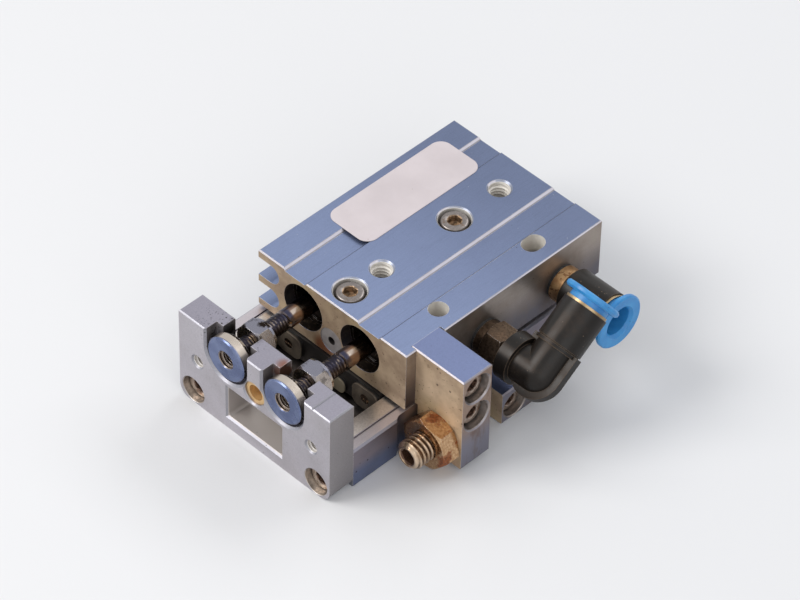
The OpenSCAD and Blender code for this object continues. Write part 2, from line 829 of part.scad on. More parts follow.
// End cap of the front end; its inner face meets the plate, and a lobe covers each ball return
module end_cap() {
    inner = block_y - plate_t;
    outer = inner - cap_t;
    difference() {
        union() {
            along_y(outer, inner) end_outline();
            along_y(outer - lobe_t, outer + eps) {
                for (side = [-1, 1]) translate([side * lobe_x, lobe_z])
                    rounded_rect(lobe_w, lobe_h, lobe_r);
                translate([0, block_z + guide_edge + pad_h / 2]) rounded_rect(pad_w, pad_h, pad_r);
            }
        }
        for (side = [-1, 1]) {
            translate([side * turn_x, inner, ball_z]) rotate([0, 0, 180])
                rotate_extrude(angle = 180) translate([turn_r, 0]) circle(r = groove_r);
            rod_y(side * lobe_x, lobe_z, outer - lobe_t - 1, inner - turn_r, grease_d);
            rod_y(side * lobe_x, lobe_z, outer - lobe_t - 1, outer - lobe_t + grease_plug_t,
                  grease_plug_d + 2 * seat_gap);
        }
    }
}

module grease_plug(side) {
    front = block_y - plate_t - cap_t - lobe_t;
    difference() {
        rod_y(side * lobe_x, lobe_z, front, front + grease_plug_t, grease_plug_d);
        translate([side * lobe_x - grease_plug_d, front - 1, lobe_z - 0.2])
            cube([2 * grease_plug_d, 1.15, 0.4]);
    }
}

// Copies a front-end piece of the guide to the rear end
module to_rear() {
    translate([0, 2 * block_y + block_len, 0]) mirror([0, 1, 0]) children();
}

module end_cap_front() {
    color("#2e2c2e") end_cap();
}

module end_cap_rear() {
    color("#2e2c2e") to_rear() end_cap();
}

module grease_plugs() {
    color("#a39c94") for (side = [-1, 1]) {
        grease_plug(side);
        to_rear() grease_plug(side);
    }
}

// Position of a ball at distance s along the closed loop of one side
function loop_point(s) =
    let (turn = PI * turn_r, lane = block_len + 2 * plate_t, y0 = block_y - plate_t)
    s < lane ? [turn_r, y0 + s]
    : s < lane + turn ? let (a = (s - lane) / turn * 180) [turn_r * cos(a), y0 + lane + turn_r * sin(a)]
    : s < 2 * lane + turn ? [-turn_r, y0 + lane - (s - lane - turn)]
    : let (a = 180 + (s - 2 * lane - turn) / turn * 180) [turn_r * cos(a), y0 + turn_r * sin(a)];

module ball_loop(side) {
    loop_len = 2 * (block_len + 2 * plate_t) + 2 * PI * turn_r;
    count = floor(loop_len / ball_pitch);
    for (i = [0 : count - 1]) {
        p = loop_point((i + 0.5) * loop_len / count);
        translate([side * (turn_x + p[0]), p[1], ball_z]) sphere(d = ball_d, $fn = 24);
    }
}

module balls_left() {
    color("#d4d4d8") ball_loop(-1);
}

module balls_right() {
    color("#d4d4d8") ball_loop(1);
}

// ---------- stops ----------

module stop_block() {
    y0 = stop_y;
    y1 = stop_y + stop_block_len;
    color("#b6ab98") difference() {
        intersection() {
            along_y(y0, y1) polygon([
                [recess_x, body_z + 0.1], [block_foot_x, body_z + 0.1], [block_foot_x, stop_block_z],
                [stop_block_x - edge, stop_block_z], [stop_block_x, stop_block_z + edge],
                [stop_block_x, total_h - edge], [stop_block_x - edge, total_h], [recess_x, total_h]
            ]);
            along_x(recess_x - 1, stop_block_x + 1) polygon([
                [y0, 0], [y1, 0], [y1, total_h - edge], [y1 - edge, total_h],
                [y0 + edge, total_h], [y0, total_h - edge]
            ]);
        }
        rod_y(stop_screw_x, stop_screw_z, y0 - 1, y1 + 1, stop_screw_d + 2 * run_gap);
        for (z = [block_screw_z1, block_screw_z2]) {
            rod_x(block_screw_y, z, recess_x - 1, stop_block_x + 1, m3_d + 2 * screw_gap);
            translate([stop_block_x, block_screw_y, z]) rotate([0, 90, 0])
                counterbore(m3_cbore_d, m3_cbore_depth, cbore_edge);
        }
    }
}

module stop_block_screws() {
    color("#6e4a3c") for (z = [block_screw_z1, block_screw_z2])
        translate([stop_block_x - m3_cbore_depth, block_screw_y, z])
            rotate([0, 90, 0]) m3_screw(stop_block_x - m3_cbore_depth - recess_x + block_screw_reach);
}

module stop_screw() {
    front = stop_end_y - stop_screw_len;
    color("#b9b3a8") translate([stop_screw_x, front, stop_screw_z]) rotate([-90, 0, 0])
        difference() {
            union() {
                cylinder(d1 = stop_screw_d - 2 * stop_screw_edge, d2 = stop_screw_d,
                         h = stop_screw_edge);
                translate([0, 0, stop_screw_edge])
                    cylinder(d = stop_screw_d, h = stop_screw_len - 2 * stop_screw_edge);
                translate([0, 0, stop_screw_len - stop_screw_edge])
                    cylinder(d1 = stop_screw_d, d2 = stop_screw_d - 2 * stop_screw_edge,
                             h = stop_screw_edge);
            }
            translate([0, 0, -1]) cylinder(d = stop_socket / cos(30), h = 3.6, $fn = 6);
        }
}

module stop_nut() {
    color("#8a5a36") difference() {
        translate([stop_screw_x, 0, stop_screw_z]) rotate([0, -stop_nut_turn, 0])
            hex_nut_y(0, 0, stop_y - stop_nut_t, stop_y, stop_nut_af);
        rod_y(stop_screw_x, stop_screw_z, stop_y - stop_nut_t - 1, stop_y + 1,
              stop_screw_d + 2 * run_gap);
    }
}

module rear_stop() {
    y1 = rear_stop_y + rear_stop_len;
    color("#b0b2bc") difference() {
        along_y(rear_stop_y, y1) polygon([
            [table_x, rear_stop_z], [rear_stop_x - edge, rear_stop_z],
            [rear_stop_x, rear_stop_z + edge], [rear_stop_x, rear_stop_z + rear_stop_h - edge],
            [rear_stop_x - edge, rear_stop_z + rear_stop_h], [table_x, rear_stop_z + rear_stop_h]
        ]);
        rod_x(rear_screw_y, rear_screw_z, table_x - 1, rear_stop_x + 1, m3_d + 2 * screw_gap);
        translate([rear_stop_x, rear_screw_y, rear_screw_z]) rotate([0, 90, 0])
            counterbore(m3_close_d, m3_cbore_depth, close_edge);
    }
}

module rear_stop_screw() {
    color("#6e4a3c") translate([rear_stop_x - m3_cbore_depth, rear_screw_y, rear_screw_z])
        rotate([0, 90, 0]) m3_screw(rear_stop_x - m3_cbore_depth - table_x + wall_screw_reach);
}

// ---------- air fittings ----------

module port_gaskets() {
    color("#3a322c") for (y = [port_a_y, port_b_y]) difference() {
        rod_x(y, port_z, body_x, body_x + gasket_t, gasket_d);
        rod_x(y, port_z, body_x - 1, body_x + gasket_t + 1, m5_minor_d + 0.4);
    }
}

module threaded_end(y) {
    rod_x(y, port_z, body_x - port_depth + 0.6, body_x + gasket_t + eps, stud_thread_d);
}

module elbow_stud() {
    hex_x = body_x + gasket_t + stud_collar_t;
    color("#4c4238") difference() {
        union() {
            threaded_end(port_a_y);
            rod_x(port_a_y, port_z, body_x + gasket_t, hex_x + eps, stud_collar_d);
            translate([hex_x, port_a_y, port_z]) rotate([0, 0, -90])
                hex_nut_y(0, 0, 0, stud_hex_t, stud_hex_af);
            rod_x(port_a_y, port_z, hex_x + stud_hex_t - eps, elbow_x - 1.4, swivel_d);
        }
        rod_x(port_a_y, port_z, 0, elbow_x, flow_d);
    }
}

// Places children on the elbow's outlet axis, which points along local +Z
module on_outlet() {
    translate([elbow_x, port_a_y, port_z]) rotate([elbow_tilt - 90, 0, 0]) children();
}

// Stepped inside of a sleeve along +Z: ring bore, tube socket and flow hole
module sleeve_core(start, end) {
    translate([0, 0, end - ring_bore_len])
        cylinder(d = ring_neck_d + 2 * run_gap, h = ring_bore_len + 1);
    translate([0, 0, end - ring_bore_len - socket_len]) cylinder(d = tube_hole_d, h = socket_len + 1);
    translate([0, 0, start]) cylinder(d = flow_d, h = end - start);
}

// Flat web in the plane of the elbow's two axes, round at the corner
module elbow_web() {
    rotate([90, 0, 0]) linear_extrude(height = web_t, center = true) {
        circle(r = web_r);
        translate([-web_r, 0]) square([2 * web_r, joint_u]);
    }
}

module elbow_body() {
    color("#25221f") difference() {
        union() {
            rod_x(port_a_y, port_z, swivel_x, swivel_x + hub_len, 2 * hub_r);
            rod_x(port_a_y, port_z, swivel_x, elbow_x, 2 * core_r);
            translate([elbow_x, port_a_y, port_z]) sphere(r = core_r);
            on_outlet() elbow_web();
            on_outlet() cylinder(r = core_r, h = joint_u);
            on_outlet() translate([0, 0, joint_u - joint_flange_t])
                cylinder(d = sleeve_d, h = joint_flange_t);
            on_outlet() translate([0, 0, joint_u - eps])
                cylinder(d = sleeve_d - 2 * joint_groove, h = joint_groove + 2 * eps);
            on_outlet() translate([0, 0, joint_u + joint_groove])
                cylinder(d = sleeve_d, h = sleeve_end_u - joint_u - joint_groove);
        }
        rod_x(port_a_y, port_z, swivel_x - 1, elbow_x - 1.2, swivel_d + 2 * run_gap);
        rod_x(port_a_y, port_z, swivel_x, elbow_x, flow_d);
        on_outlet() sleeve_core(0, sleeve_end_u);
    }
}

module sleeve_collar() {
    difference() {
        cylinder(d = sleeve_d - 0.5, h = collar_t);
        translate([0, 0, -1]) cylinder(d = ring_neck_d + 2 * run_gap, h = 3);
    }
}

// Toothed gripping ring behind the release ring
module sleeve_collet() {
    difference() {
        cylinder(d = ring_neck_d, h = collet_t);
        translate([0, 0, -1]) cylinder(d = tube_hole_d, h = 3);
        for (a = [0 : 45 : 315]) rotate([0, 0, a]) translate([0, -0.2, -1]) cube([3.6, 0.4, 3]);
    }
}

module tube_seal() {
    difference() {
        cylinder(d = ring_neck_d, h = tube_seal_t);
        translate([0, 0, -1]) cylinder(d = tube_hole_d, h = 3);
    }
}

// Release ring: neck in the sleeve and a flange outside it; local z = 0 is the sleeve's end
module release_ring() {
    gap = release_travel + 0.1 + collar_t;
    difference() {
        union() {
            translate([0, 0, 0.9 - ring_neck_len + release_travel])
                cylinder(d = ring_neck_d - 2 * run_gap, h = ring_neck_len + gap - 0.9 - release_travel + eps);
            translate([0, 0, gap]) cylinder(d1 = flange_d - 0.8, d2 = flange_d, h = 0.4);
            translate([0, 0, gap + 0.4 - eps]) cylinder(d = flange_d, h = flange_t - 0.7);
            translate([0, 0, gap + flange_t - 0.3 - 2 * eps])
                cylinder(d1 = flange_d, d2 = flange_d - 0.6, h = 0.3);
        }
        translate([0, 0, -ring_neck_len]) cylinder(d = tube_hole_d, h = 2 * ring_neck_len);
        translate([0, 0, gap + flange_t - 0.7]) cylinder(d1 = tube_hole_d, d2 = tube_hole_d + 1.4, h = 0.8);
    }
}

module elbow_collar() {
    color("#c9b896") on_outlet() translate([0, 0, sleeve_end_u]) sleeve_collar();
}

module elbow_collet() {
    color("#c0a060") on_outlet() translate([0, 0, sleeve_end_u + collet_u]) sleeve_collet();
}

module elbow_tube_seal() {
    color("#1c1c1c") on_outlet() translate([0, 0, sleeve_end_u + seal_u]) tube_seal();
}

module elbow_release() {
    color("#3f9be0") on_outlet() translate([0, 0, sleeve_end_u]) release_ring();
}

module on_straight(x) {
    translate([x, port_b_y, port_z]) rotate([0, 90, 0]) children();
}

module straight_stud() {
    color("#b08a52") difference() {
        union() {
            threaded_end(port_b_y);
            rod_x(port_b_y, port_z, body_x + gasket_t, straight_x - seat_gap, stud_collar_d);
            rod_x(port_b_y, port_z, straight_x - 1, straight_x + 2.4, swivel_d);
        }
        rod_x(port_b_y, port_z, 0, straight_x + 4, flow_d);
    }
}

module straight_body() {
    color("#25221f") difference() {
        union() {
            on_straight(straight_x) cylinder(d1 = sleeve_d - 0.8, d2 = sleeve_d, h = 0.4);
            on_straight(straight_x + 0.4 - eps)
                cylinder(d = sleeve_d, h = straight_end_x - straight_x - 0.4 + eps);
        }
        rod_x(port_b_y, port_z, straight_x - 1, straight_x + 2.4 + seat_gap, swivel_d + 2 * seat_gap);
        on_straight(straight_x) sleeve_core(-1, straight_end_x - straight_x);
    }
}

module straight_collar() {
    color("#c9b896") on_straight(straight_end_x) sleeve_collar();
}

module straight_collet() {
    color("#c0a060") on_straight(straight_end_x + collet_u) sleeve_collet();
}

module straight_tube_seal() {
    color("#1c1c1c") on_straight(straight_end_x + seal_u) tube_seal();
}

module straight_release() {
    color("#3f9be0") on_straight(straight_end_x) release_ring();
}

housing();
front_plug();
label();
front_rings();
rod_covers();
rod_seals();
front_bumpers();
rear_bumpers();
rear_plugs();
rear_plug_seals();
rear_rings();
guide_block();
guide_screws();
end_plate_front();
end_plate_rear();
end_cap_front();
end_cap_rear();
grease_plugs();
balls_left();
balls_right();
stop_block();
stop_block_screws();
stop_screw();
stop_nut();
table();
race_left();
race_right();
yoke();
yoke_screws();
yoke_bush();
rear_stop();
rear_stop_screw();
rod_left();
rod_right();
rod_nuts();
rod_buttons();
pistons();
piston_seals();
magnets();
port_gaskets();
elbow_stud();
elbow_body();
elbow_collar();
elbow_collet();
elbow_tube_seal();
elbow_release();
straight_stud();
straight_body();
straight_collar();
straight_collet();
straight_tube_seal();
straight_release();
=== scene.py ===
import json
import math

import bmesh
import bpy
from mathutils import Matrix, Vector


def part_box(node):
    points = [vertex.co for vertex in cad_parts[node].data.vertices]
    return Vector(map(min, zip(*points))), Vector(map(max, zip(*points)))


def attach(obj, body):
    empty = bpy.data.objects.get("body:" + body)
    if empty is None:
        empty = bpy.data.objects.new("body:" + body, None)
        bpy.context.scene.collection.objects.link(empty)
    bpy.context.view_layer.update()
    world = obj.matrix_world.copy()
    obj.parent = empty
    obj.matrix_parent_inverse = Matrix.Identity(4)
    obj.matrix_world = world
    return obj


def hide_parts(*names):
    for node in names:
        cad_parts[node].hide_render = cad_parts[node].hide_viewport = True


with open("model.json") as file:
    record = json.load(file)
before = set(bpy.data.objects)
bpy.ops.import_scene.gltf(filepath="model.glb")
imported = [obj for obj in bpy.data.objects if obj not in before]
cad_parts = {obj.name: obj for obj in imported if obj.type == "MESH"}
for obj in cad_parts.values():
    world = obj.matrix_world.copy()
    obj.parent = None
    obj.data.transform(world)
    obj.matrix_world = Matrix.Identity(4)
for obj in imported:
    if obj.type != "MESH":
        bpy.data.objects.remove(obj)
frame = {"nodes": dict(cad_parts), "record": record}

# Looks of the pneumatic slide table. Lengths are metres in the CAD's frame: X across, Y along the
# stroke from the yoke to the rear, Z up. Every CAD node gets the finish of its record slot, and
# knurled and threaded pieces stand for the plain CAD screws and rods. Places and sizes come from
# the boxes of the CAD nodes where they can.

MM = 0.001
NODES = frame["nodes"]
SLOTS = {row["node"]: row["material_slot"] for row in frame["record"]["subparts"]}
BODY_OF = {node: body for body, members in frame["record"]["behaviour"]["bodies"].items()
           for node in members}
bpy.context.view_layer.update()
X, Y, Z = 0, 1, 2
SIDE = (1, 0, 0)
OTHER_SIDE = (-1, 0, 0)
FRONT = (0, -1, 0)
REAR = (0, 1, 0)
UP = (0, 0, 1)
DOWN = (0, 0, -1)


def middle(node):
    """Centre of a node's box."""
    low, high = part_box(node)
    return (low + high) / 2


HOUSING_LOW, HOUSING_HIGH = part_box("housing")
YOKE_LOW, YOKE_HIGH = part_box("yoke")
TOP = HOUSING_HIGH.z
ROD = middle("rod_right")
BUTTON_LOW, BUTTON_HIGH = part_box("rod_buttons")
PORT_A = middle("elbow_stud")
PORT_B = middle("straight_stud")
PORTS = [(HOUSING_HIGH.x, port.y, port.z) for port in (PORT_A, PORT_B)]

# Holes of the housing that get a colour or a thread
MOUNT_YS = (13 * MM, HOUSING_HIGH.y - 7.6 * MM)
MOUNT_THREADS = (5.6 * MM, 11 * MM)
MOUNT_R = 2.1 * MM
GUIDE_YS = (4.8 * MM, 32.3 * MM)
GUIDE_BORE_R = 3.25 * MM
DOWEL_X = ROD.x + 7.3 * MM      # the round dowel hole and the dowel slot behind it
DOWEL_YS = (10.8 * MM, 40.9 * MM)
DOWEL_R = 2.02 * MM
LIT_DEPTH = 4.6 * MM            # below it, the walls of the top's holes are dark
BORE_R = 5.55 * MM              # past the ring grooves in the bores

# Holes of the yoke, the blocks and the table
YOKE_HOLE_X = ROD.x + 7.6 * MM
YOKE_HOLE_Z = ROD.z - 6 * MM
YOKE_BORE_R = 2.9 * MM
BLOCK_BORE_R = 3.15 * MM
PAYLOAD_XS = (-10 * MM, 10 * MM)
PAYLOAD_YS = (2.2 * MM, 32.2 * MM)

# Shallow lines, between two X values, whose edges get no painted wear and highlight
HOUSING_SEAMS = ((-7.2 * MM, -6.6 * MM), (12.3 * MM, 12.9 * MM))    # channel slopes facing -X
YOKE_SEAMS = ((15.15 * MM, 15.65 * MM),)                            # V line of the right post

ROD_THREAD_END = YOKE_HIGH.y + 8.2 * MM
ELBOW_TILT = math.radians(36)
ELBOW_FLAT = Vector((0, -math.sin(ELBOW_TILT), math.cos(ELBOW_TILT)))

# M3 cap screws
HEAD_R = 2.75 * MM
HEAD_H = 3 * MM
SHANK_R = 1.5 * MM
SOCKET_AF = 2.5 * MM

KNURL_SIDES = 96
LABEL_SIDES = 96
BEVEL_SAMPLES = 6


def screw_centres(node, spread=None):
    """Middle of a node's screw, or of its two screws that lie apart along the spread axis."""
    low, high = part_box(node)
    centre = (low + high) / 2
    if spread is None:
        return [centre]
    found = []
    for place in (low[spread] + HEAD_R, high[spread] - HEAD_R):
        point = centre.copy()
        point[spread] = place
        found.append(point)
    return found


YOKE_SCREWS = screw_centres("yoke_screws", X)
SIDE_SCREWS = screw_centres("stop_block_screws", Z) + screw_centres("rear_stop_screw")


def srgb(red, green, blue):
    """Linear colour from display values of 0 to 255."""
    def linear(value):
        share = value / 255
        if share <= 0.04045:
            return share / 12.92
        return ((share + 0.055) / 1.055) ** 2.4

    return linear(red), linear(green), linear(blue)


BRIGHT_EDGE = srgb(214, 211, 212)
SOOT = srgb(38, 31, 27)
RUST = srgb(132, 78, 46)


# ------------------------ material helpers

class Shader:
    """A material with short calls for its nodes. Sockets and plain values can both be passed in. A
    factor runs from 0 to 1 and says where something shows."""

    def __init__(self, name):
        self.mat = bpy.data.materials.new(name)
        self.mat.use_nodes = True
        self.tree = self.mat.node_tree
        self.bsdf = self.tree.nodes["Principled BSDF"]
        self.coords = self.tree.nodes.new("ShaderNodeTexCoord")
        self.obj = self.coords.outputs["Object"]
        self.normal = self.coords.outputs["Normal"]

    def node(self, kind, **settings):
        """A new node with its settings."""
        made = self.tree.nodes.new(kind)
        for key, value in settings.items():
            setattr(made, key, value)
        return made

    def put(self, socket, value):
        """Links a socket to an input, or sets the input to a number, vector or colour."""
        if hasattr(value, "links"):
            self.tree.links.new(value, socket)
        elif hasattr(value, "__len__") and len(value) == 3 and socket.type == "RGBA":
            socket.default_value = (*value, 1.0)
        else:
            socket.default_value = value

    def math(self, op, a, b=0.0):
        """Result of a math node."""
        made = self.node("ShaderNodeMath", operation=op)
        self.put(made.inputs[0], a)
        self.put(made.inputs[1], b)
        return made.outputs[0]

    def vector(self, op, a, b=(0, 0, 0), output="Vector"):
        """Result of a vector math node."""
        made = self.node("ShaderNodeVectorMath", operation=op)
        self.put(made.inputs[0], a)
        self.put(made.inputs[1], b)
        return made.outputs[output]

    def scaled(self, scale):
        """The object's coordinates times a scale for each axis."""
        return self.vector("MULTIPLY", self.obj, scale)

    def axis(self, index):
        """The object's X, Y or Z coordinate."""
        made = self.node("ShaderNodeSeparateXYZ")
        self.put(made.inputs[0], self.obj)
        return made.outputs[index]

    def noise(self, scale, detail=3.0, rough=0.55, vector=None):
        """Cloudy noise of about 0.3 to 0.7; the scale is its number of waves in a metre."""
        made = self.node("ShaderNodeTexNoise")
        self.put(made.inputs["Vector"], vector or self.obj)
        made.inputs["Scale"].default_value = scale
        made.inputs["Detail"].default_value = detail
        made.inputs["Roughness"].default_value = rough
        return made.outputs["Fac"]

    def patches(self, scale, detail, low, high, to_low=0.0, to_high=1.0, rough=0.55):
        """to_low to to_high in cloudy patches, where noise rises from low to high."""
        return self.ramp(self.noise(scale, detail, rough), low, high, to_low, to_high)

    def cells(self, scale):
        """Distance to the nearest of many scattered points."""
        made = self.node("ShaderNodeTexVoronoi")
        self.put(made.inputs["Vector"], self.obj)
        made.inputs["Scale"].default_value = scale
        return made.outputs["Distance"]

    def ramp(self, value, low, high, to_low=0.0, to_high=1.0):
        """to_low where the value is low or less, to_high where it is high or more."""
        made = self.node("ShaderNodeMapRange", interpolation_type="SMOOTHSTEP")
        self.put(made.inputs["Value"], value)
        made.inputs["From Min"].default_value = low
        made.inputs["From Max"].default_value = high
        self.put(made.inputs["To Min"], to_low)
        self.put(made.inputs["To Max"], to_high)
        return made.outputs[0]

    def under(self, value, low, high):
        """1 where the value is low or less, 0 where it is high or more."""
        return self.ramp(value, low, high, 1.0, 0.0)

    def rise(self, index, low, high):
        """0 below one plane across an axis, 1 above the next."""
        return self.ramp(self.axis(index), low, high)

    def fall(self, index, low, high):
        """1 below one plane across an axis, 0 above the next."""
        return self.under(self.axis(index), low, high)

    def fade(self, factor, start, end):
        """start where the factor is 0, end where it is 1."""
        return self.ramp(factor, 0.0, 1.0, start, end)

    def opposite(self, factor):
        """1 where the factor is 0, 0 where it is 1."""
        return self.math("SUBTRACT", 1.0, factor)

    def mix(self, factor, a, b, blend="MIX"):
        """Colour a where the factor is 0, b where it is 1."""
        made = self.node("ShaderNodeMix", data_type="RGBA", blend_type=blend)
        self.put(made.inputs[0], factor)
        self.put(made.inputs[6], a)
        self.put(made.inputs[7], b)
        return made.outputs[2]

    def shade(self, factor, color, amount):
        """Darkens (amount below 1) or lightens a colour where factor is 1."""
        return self.mix(factor, color, (amount, amount, amount), "MULTIPLY")

    def line(self, value):
        """A vector with the value along X, so that noise varies with it alone."""
        made = self.node("ShaderNodeCombineXYZ")
        self.put(made.inputs[0], value)
        return made.outputs[0]

    def near(self, point, radius, soft):
        """1 within radius of a point, fading to 0 over soft."""
        distance = self.vector("DISTANCE", self.obj, point, output="Value")
        return self.under(distance, radius, radius + soft)

    def off_axis(self, index, point, mirrored=False):
        """Distance from the line along one axis through a point. When mirrored, the line through a
        point with positive X stands for its mirror image too."""
        mask = [0 if i == index else 1 for i in range(3)]
        place = self.obj
        if mirrored:
            place = self.vector("ABSOLUTE", place)
        flat = self.vector("MULTIPLY", place, mask)
        centre = [c * m for c, m in zip(point, mask)]
        return self.vector("DISTANCE", flat, centre, output="Value")

    def wall(self, index, point, radius, mirrored=False):
        """1 on the wall of a round hole along an axis, and inside it."""
        distance = self.off_axis(index, point, mirrored)
        return self.under(distance, radius + 0.04 * MM, radius + 0.09 * MM)

    def between(self, index, low, high, soft):
        """1 between two planes across an axis, fading to 0 over soft outside them."""
        value = self.axis(index)
        return self.times(self.ramp(value, low - soft, low), self.under(value, high, high + soft))

    def facing(self, direction, low=0.6, high=0.9):
        """1 on faces that look along a direction."""
        dot = self.vector("DOT_PRODUCT", self.normal, direction, output="Value")
        return self.ramp(dot, low, high)

    def edges(self, radius, low=0.02, high=0.25):
        """1 along sharp edges, from the angle between the true and the rounded normal."""
        flat = self.node("ShaderNodeNewGeometry").outputs["True Normal"]
        dot = self.vector("DOT_PRODUCT", self.rounded(radius), flat, output="Value")
        return self.ramp(self.opposite(dot), low, high)

    def edge_wear_and_highlight(self, color, tone, radius, low, high, *factors):
        """The colour with a paler tone along the sharp edges, as wear and as painted highlight."""
        return self.mix(self.times(self.edges(radius, low, high), *factors), color, tone)

    def any_of(self, *factors):
        """The greatest of the factors."""
        total = factors[0]
        for factor in factors[1:]:
            total = self.math("MAXIMUM", total, factor)
        return total

    def times(self, *factors):
        """The product of the factors."""
        total = factors[0]
        for factor in factors[1:]:
            total = self.math("MULTIPLY", total, factor)
        return total

    def dots(self, scale, core, size):
        """Round spots all over: 1 within the core of each, 0 outside its size."""
        return self.under(self.cells(scale), core, size)

    def specks(self, scale, size, mask_scale, low=0.5, high=0.62):
        """Small round spots gathered in patches."""
        spots = self.dots(scale, size * 0.5, size)
        return self.times(spots, self.patches(mask_scale, 2, low, high))

    def bump(self, height, strength, distance, normal=None):
        """Normal with a fine relief."""
        made = self.node("ShaderNodeBump")
        made.inputs["Strength"].default_value = strength
        made.inputs["Distance"].default_value = distance
        self.put(made.inputs["Height"], height)
        if normal is not None:
            self.put(made.inputs["Normal"], normal)
        return made.outputs[0]

    def rounded(self, radius):
        """Normal with softly rounded edges."""
        made = self.node("ShaderNodeBevel", samples=BEVEL_SAMPLES)
        made.inputs["Radius"].default_value = radius
        return made.outputs[0]

    def surface(self, color, roughness, metallic=0.0, normal=None, **more):
        """Fills in the surface shader and returns the finished material."""
        self.put(self.bsdf.inputs["Base Color"], color)
        self.put(self.bsdf.inputs["Roughness"], roughness)
        self.put(self.bsdf.inputs["Metallic"], metallic)
        if normal is not None:
            self.put(self.bsdf.inputs["Normal"], normal)
        for key, value in more.items():
            self.put(self.bsdf.inputs[key.replace("_", " ")], value)
        return self.mat


# ------------------------ aluminium

def aluminium(name, base, painted_light_tones, stains, streak=(90, 5, 90), seams=()):
    """Anodised aluminium: a painted tone for each side that stands in for its light, shade and
    reflection, drawn streaks, dust specks and bright edges painted as wear and as highlight, which
    are left out between the X values of the seams. The stains function adds what belongs to one
    piece alone, and takes and gives colour, roughness and metalness."""
    s = Shader(name)
    color = base
    # Painted light, shade and reflection: each side gets its own tone.
    for direction, tone in painted_light_tones:
        color = s.mix(s.facing(direction), color, tone)
    cloud = s.noise(75, 3, 0.5)
    drawn = s.noise(60, 3, 0.6, s.scaled(streak))
    grain = s.noise(5200, 2, 0.5)
    color = s.shade(s.ramp(cloud, 0.35, 0.7, 0.0, 0.5), color, 0.84)
    color = s.shade(s.ramp(drawn, 0.45, 0.75, 0.0, 0.45), color, 0.82)
    color = s.shade(s.ramp(grain, 0.4, 0.75, 0.0, 0.5), color, 1.22)
    rough = s.ramp(cloud, 0.25, 0.75, 0.33, 0.45)
    color, rough, metal = stains(s, color, rough, metal=0.85)
    dark = s.specks(640, 0.1, 190, 0.56, 0.66)
    color = s.mix(s.times(dark, 0.7), color, SOOT)
    pale = s.specks(820, 0.08, 260, 0.55, 0.68)
    color = s.mix(s.times(pale, 0.5), color, BRIGHT_EDGE)
    # Painted highlight and wear: bright lines along the sharp edges, where light catches the
    # chamfers.
    edge_wear_and_highlight = s.times(s.edges(0.14 * MM), 0.75)
    for low, high in seams:
        seam = s.between(X, low - 0.15 * MM, high + 0.15 * MM, 0.02 * MM)
        edge_wear_and_highlight = s.times(edge_wear_and_highlight, s.opposite(seam))
    color = s.mix(edge_wear_and_highlight, color, BRIGHT_EDGE)
    normal = s.bump(grain, 0.14, 0.02 * MM, s.rounded(0.07 * MM))
    return s.surface(color, rough, metal, normal)


def golden_face(s, color, metal, front, light, dark):
    """Machined front face with a dull golden film, brown drips and black spots; gives colour and
    metalness."""
    film = s.mix(s.patches(170, 4, 0.35, 0.7, rough=0.6), dark, light)
    film = s.mix(s.patches(90, 2, 0.45, 0.62, 0.0, 0.5, rough=0.5), film, srgb(178, 158, 116))
    color = s.mix(s.times(front, 0.95), color, film)
    brown = s.times(front, s.patches(420, 5, 0.6, 0.72, 0.0, 0.5, rough=0.7))
    color = s.mix(brown, color, srgb(112, 84, 58))
    coarse = s.specks(480, 0.16, 150, 0.46, 0.56)
    small = s.specks(1250, 0.2, 210, 0.44, 0.56)
    color = s.mix(s.times(front, s.any_of(coarse, small), 0.85), color, srgb(66, 48, 35))
    return color, s.fade(front, metal, 0.3)


def counterbores(s, color, index, points, radius, tone):
    """Dull walls in the counterbores of cap screws."""
    walls = [s.wall(index, point, radius) for point in points]
    dull = s.mix(s.patches(700, 3, 0.35, 0.65), [c * 0.6 for c in tone], tone)
    return s.mix(s.any_of(*walls), color, dull)


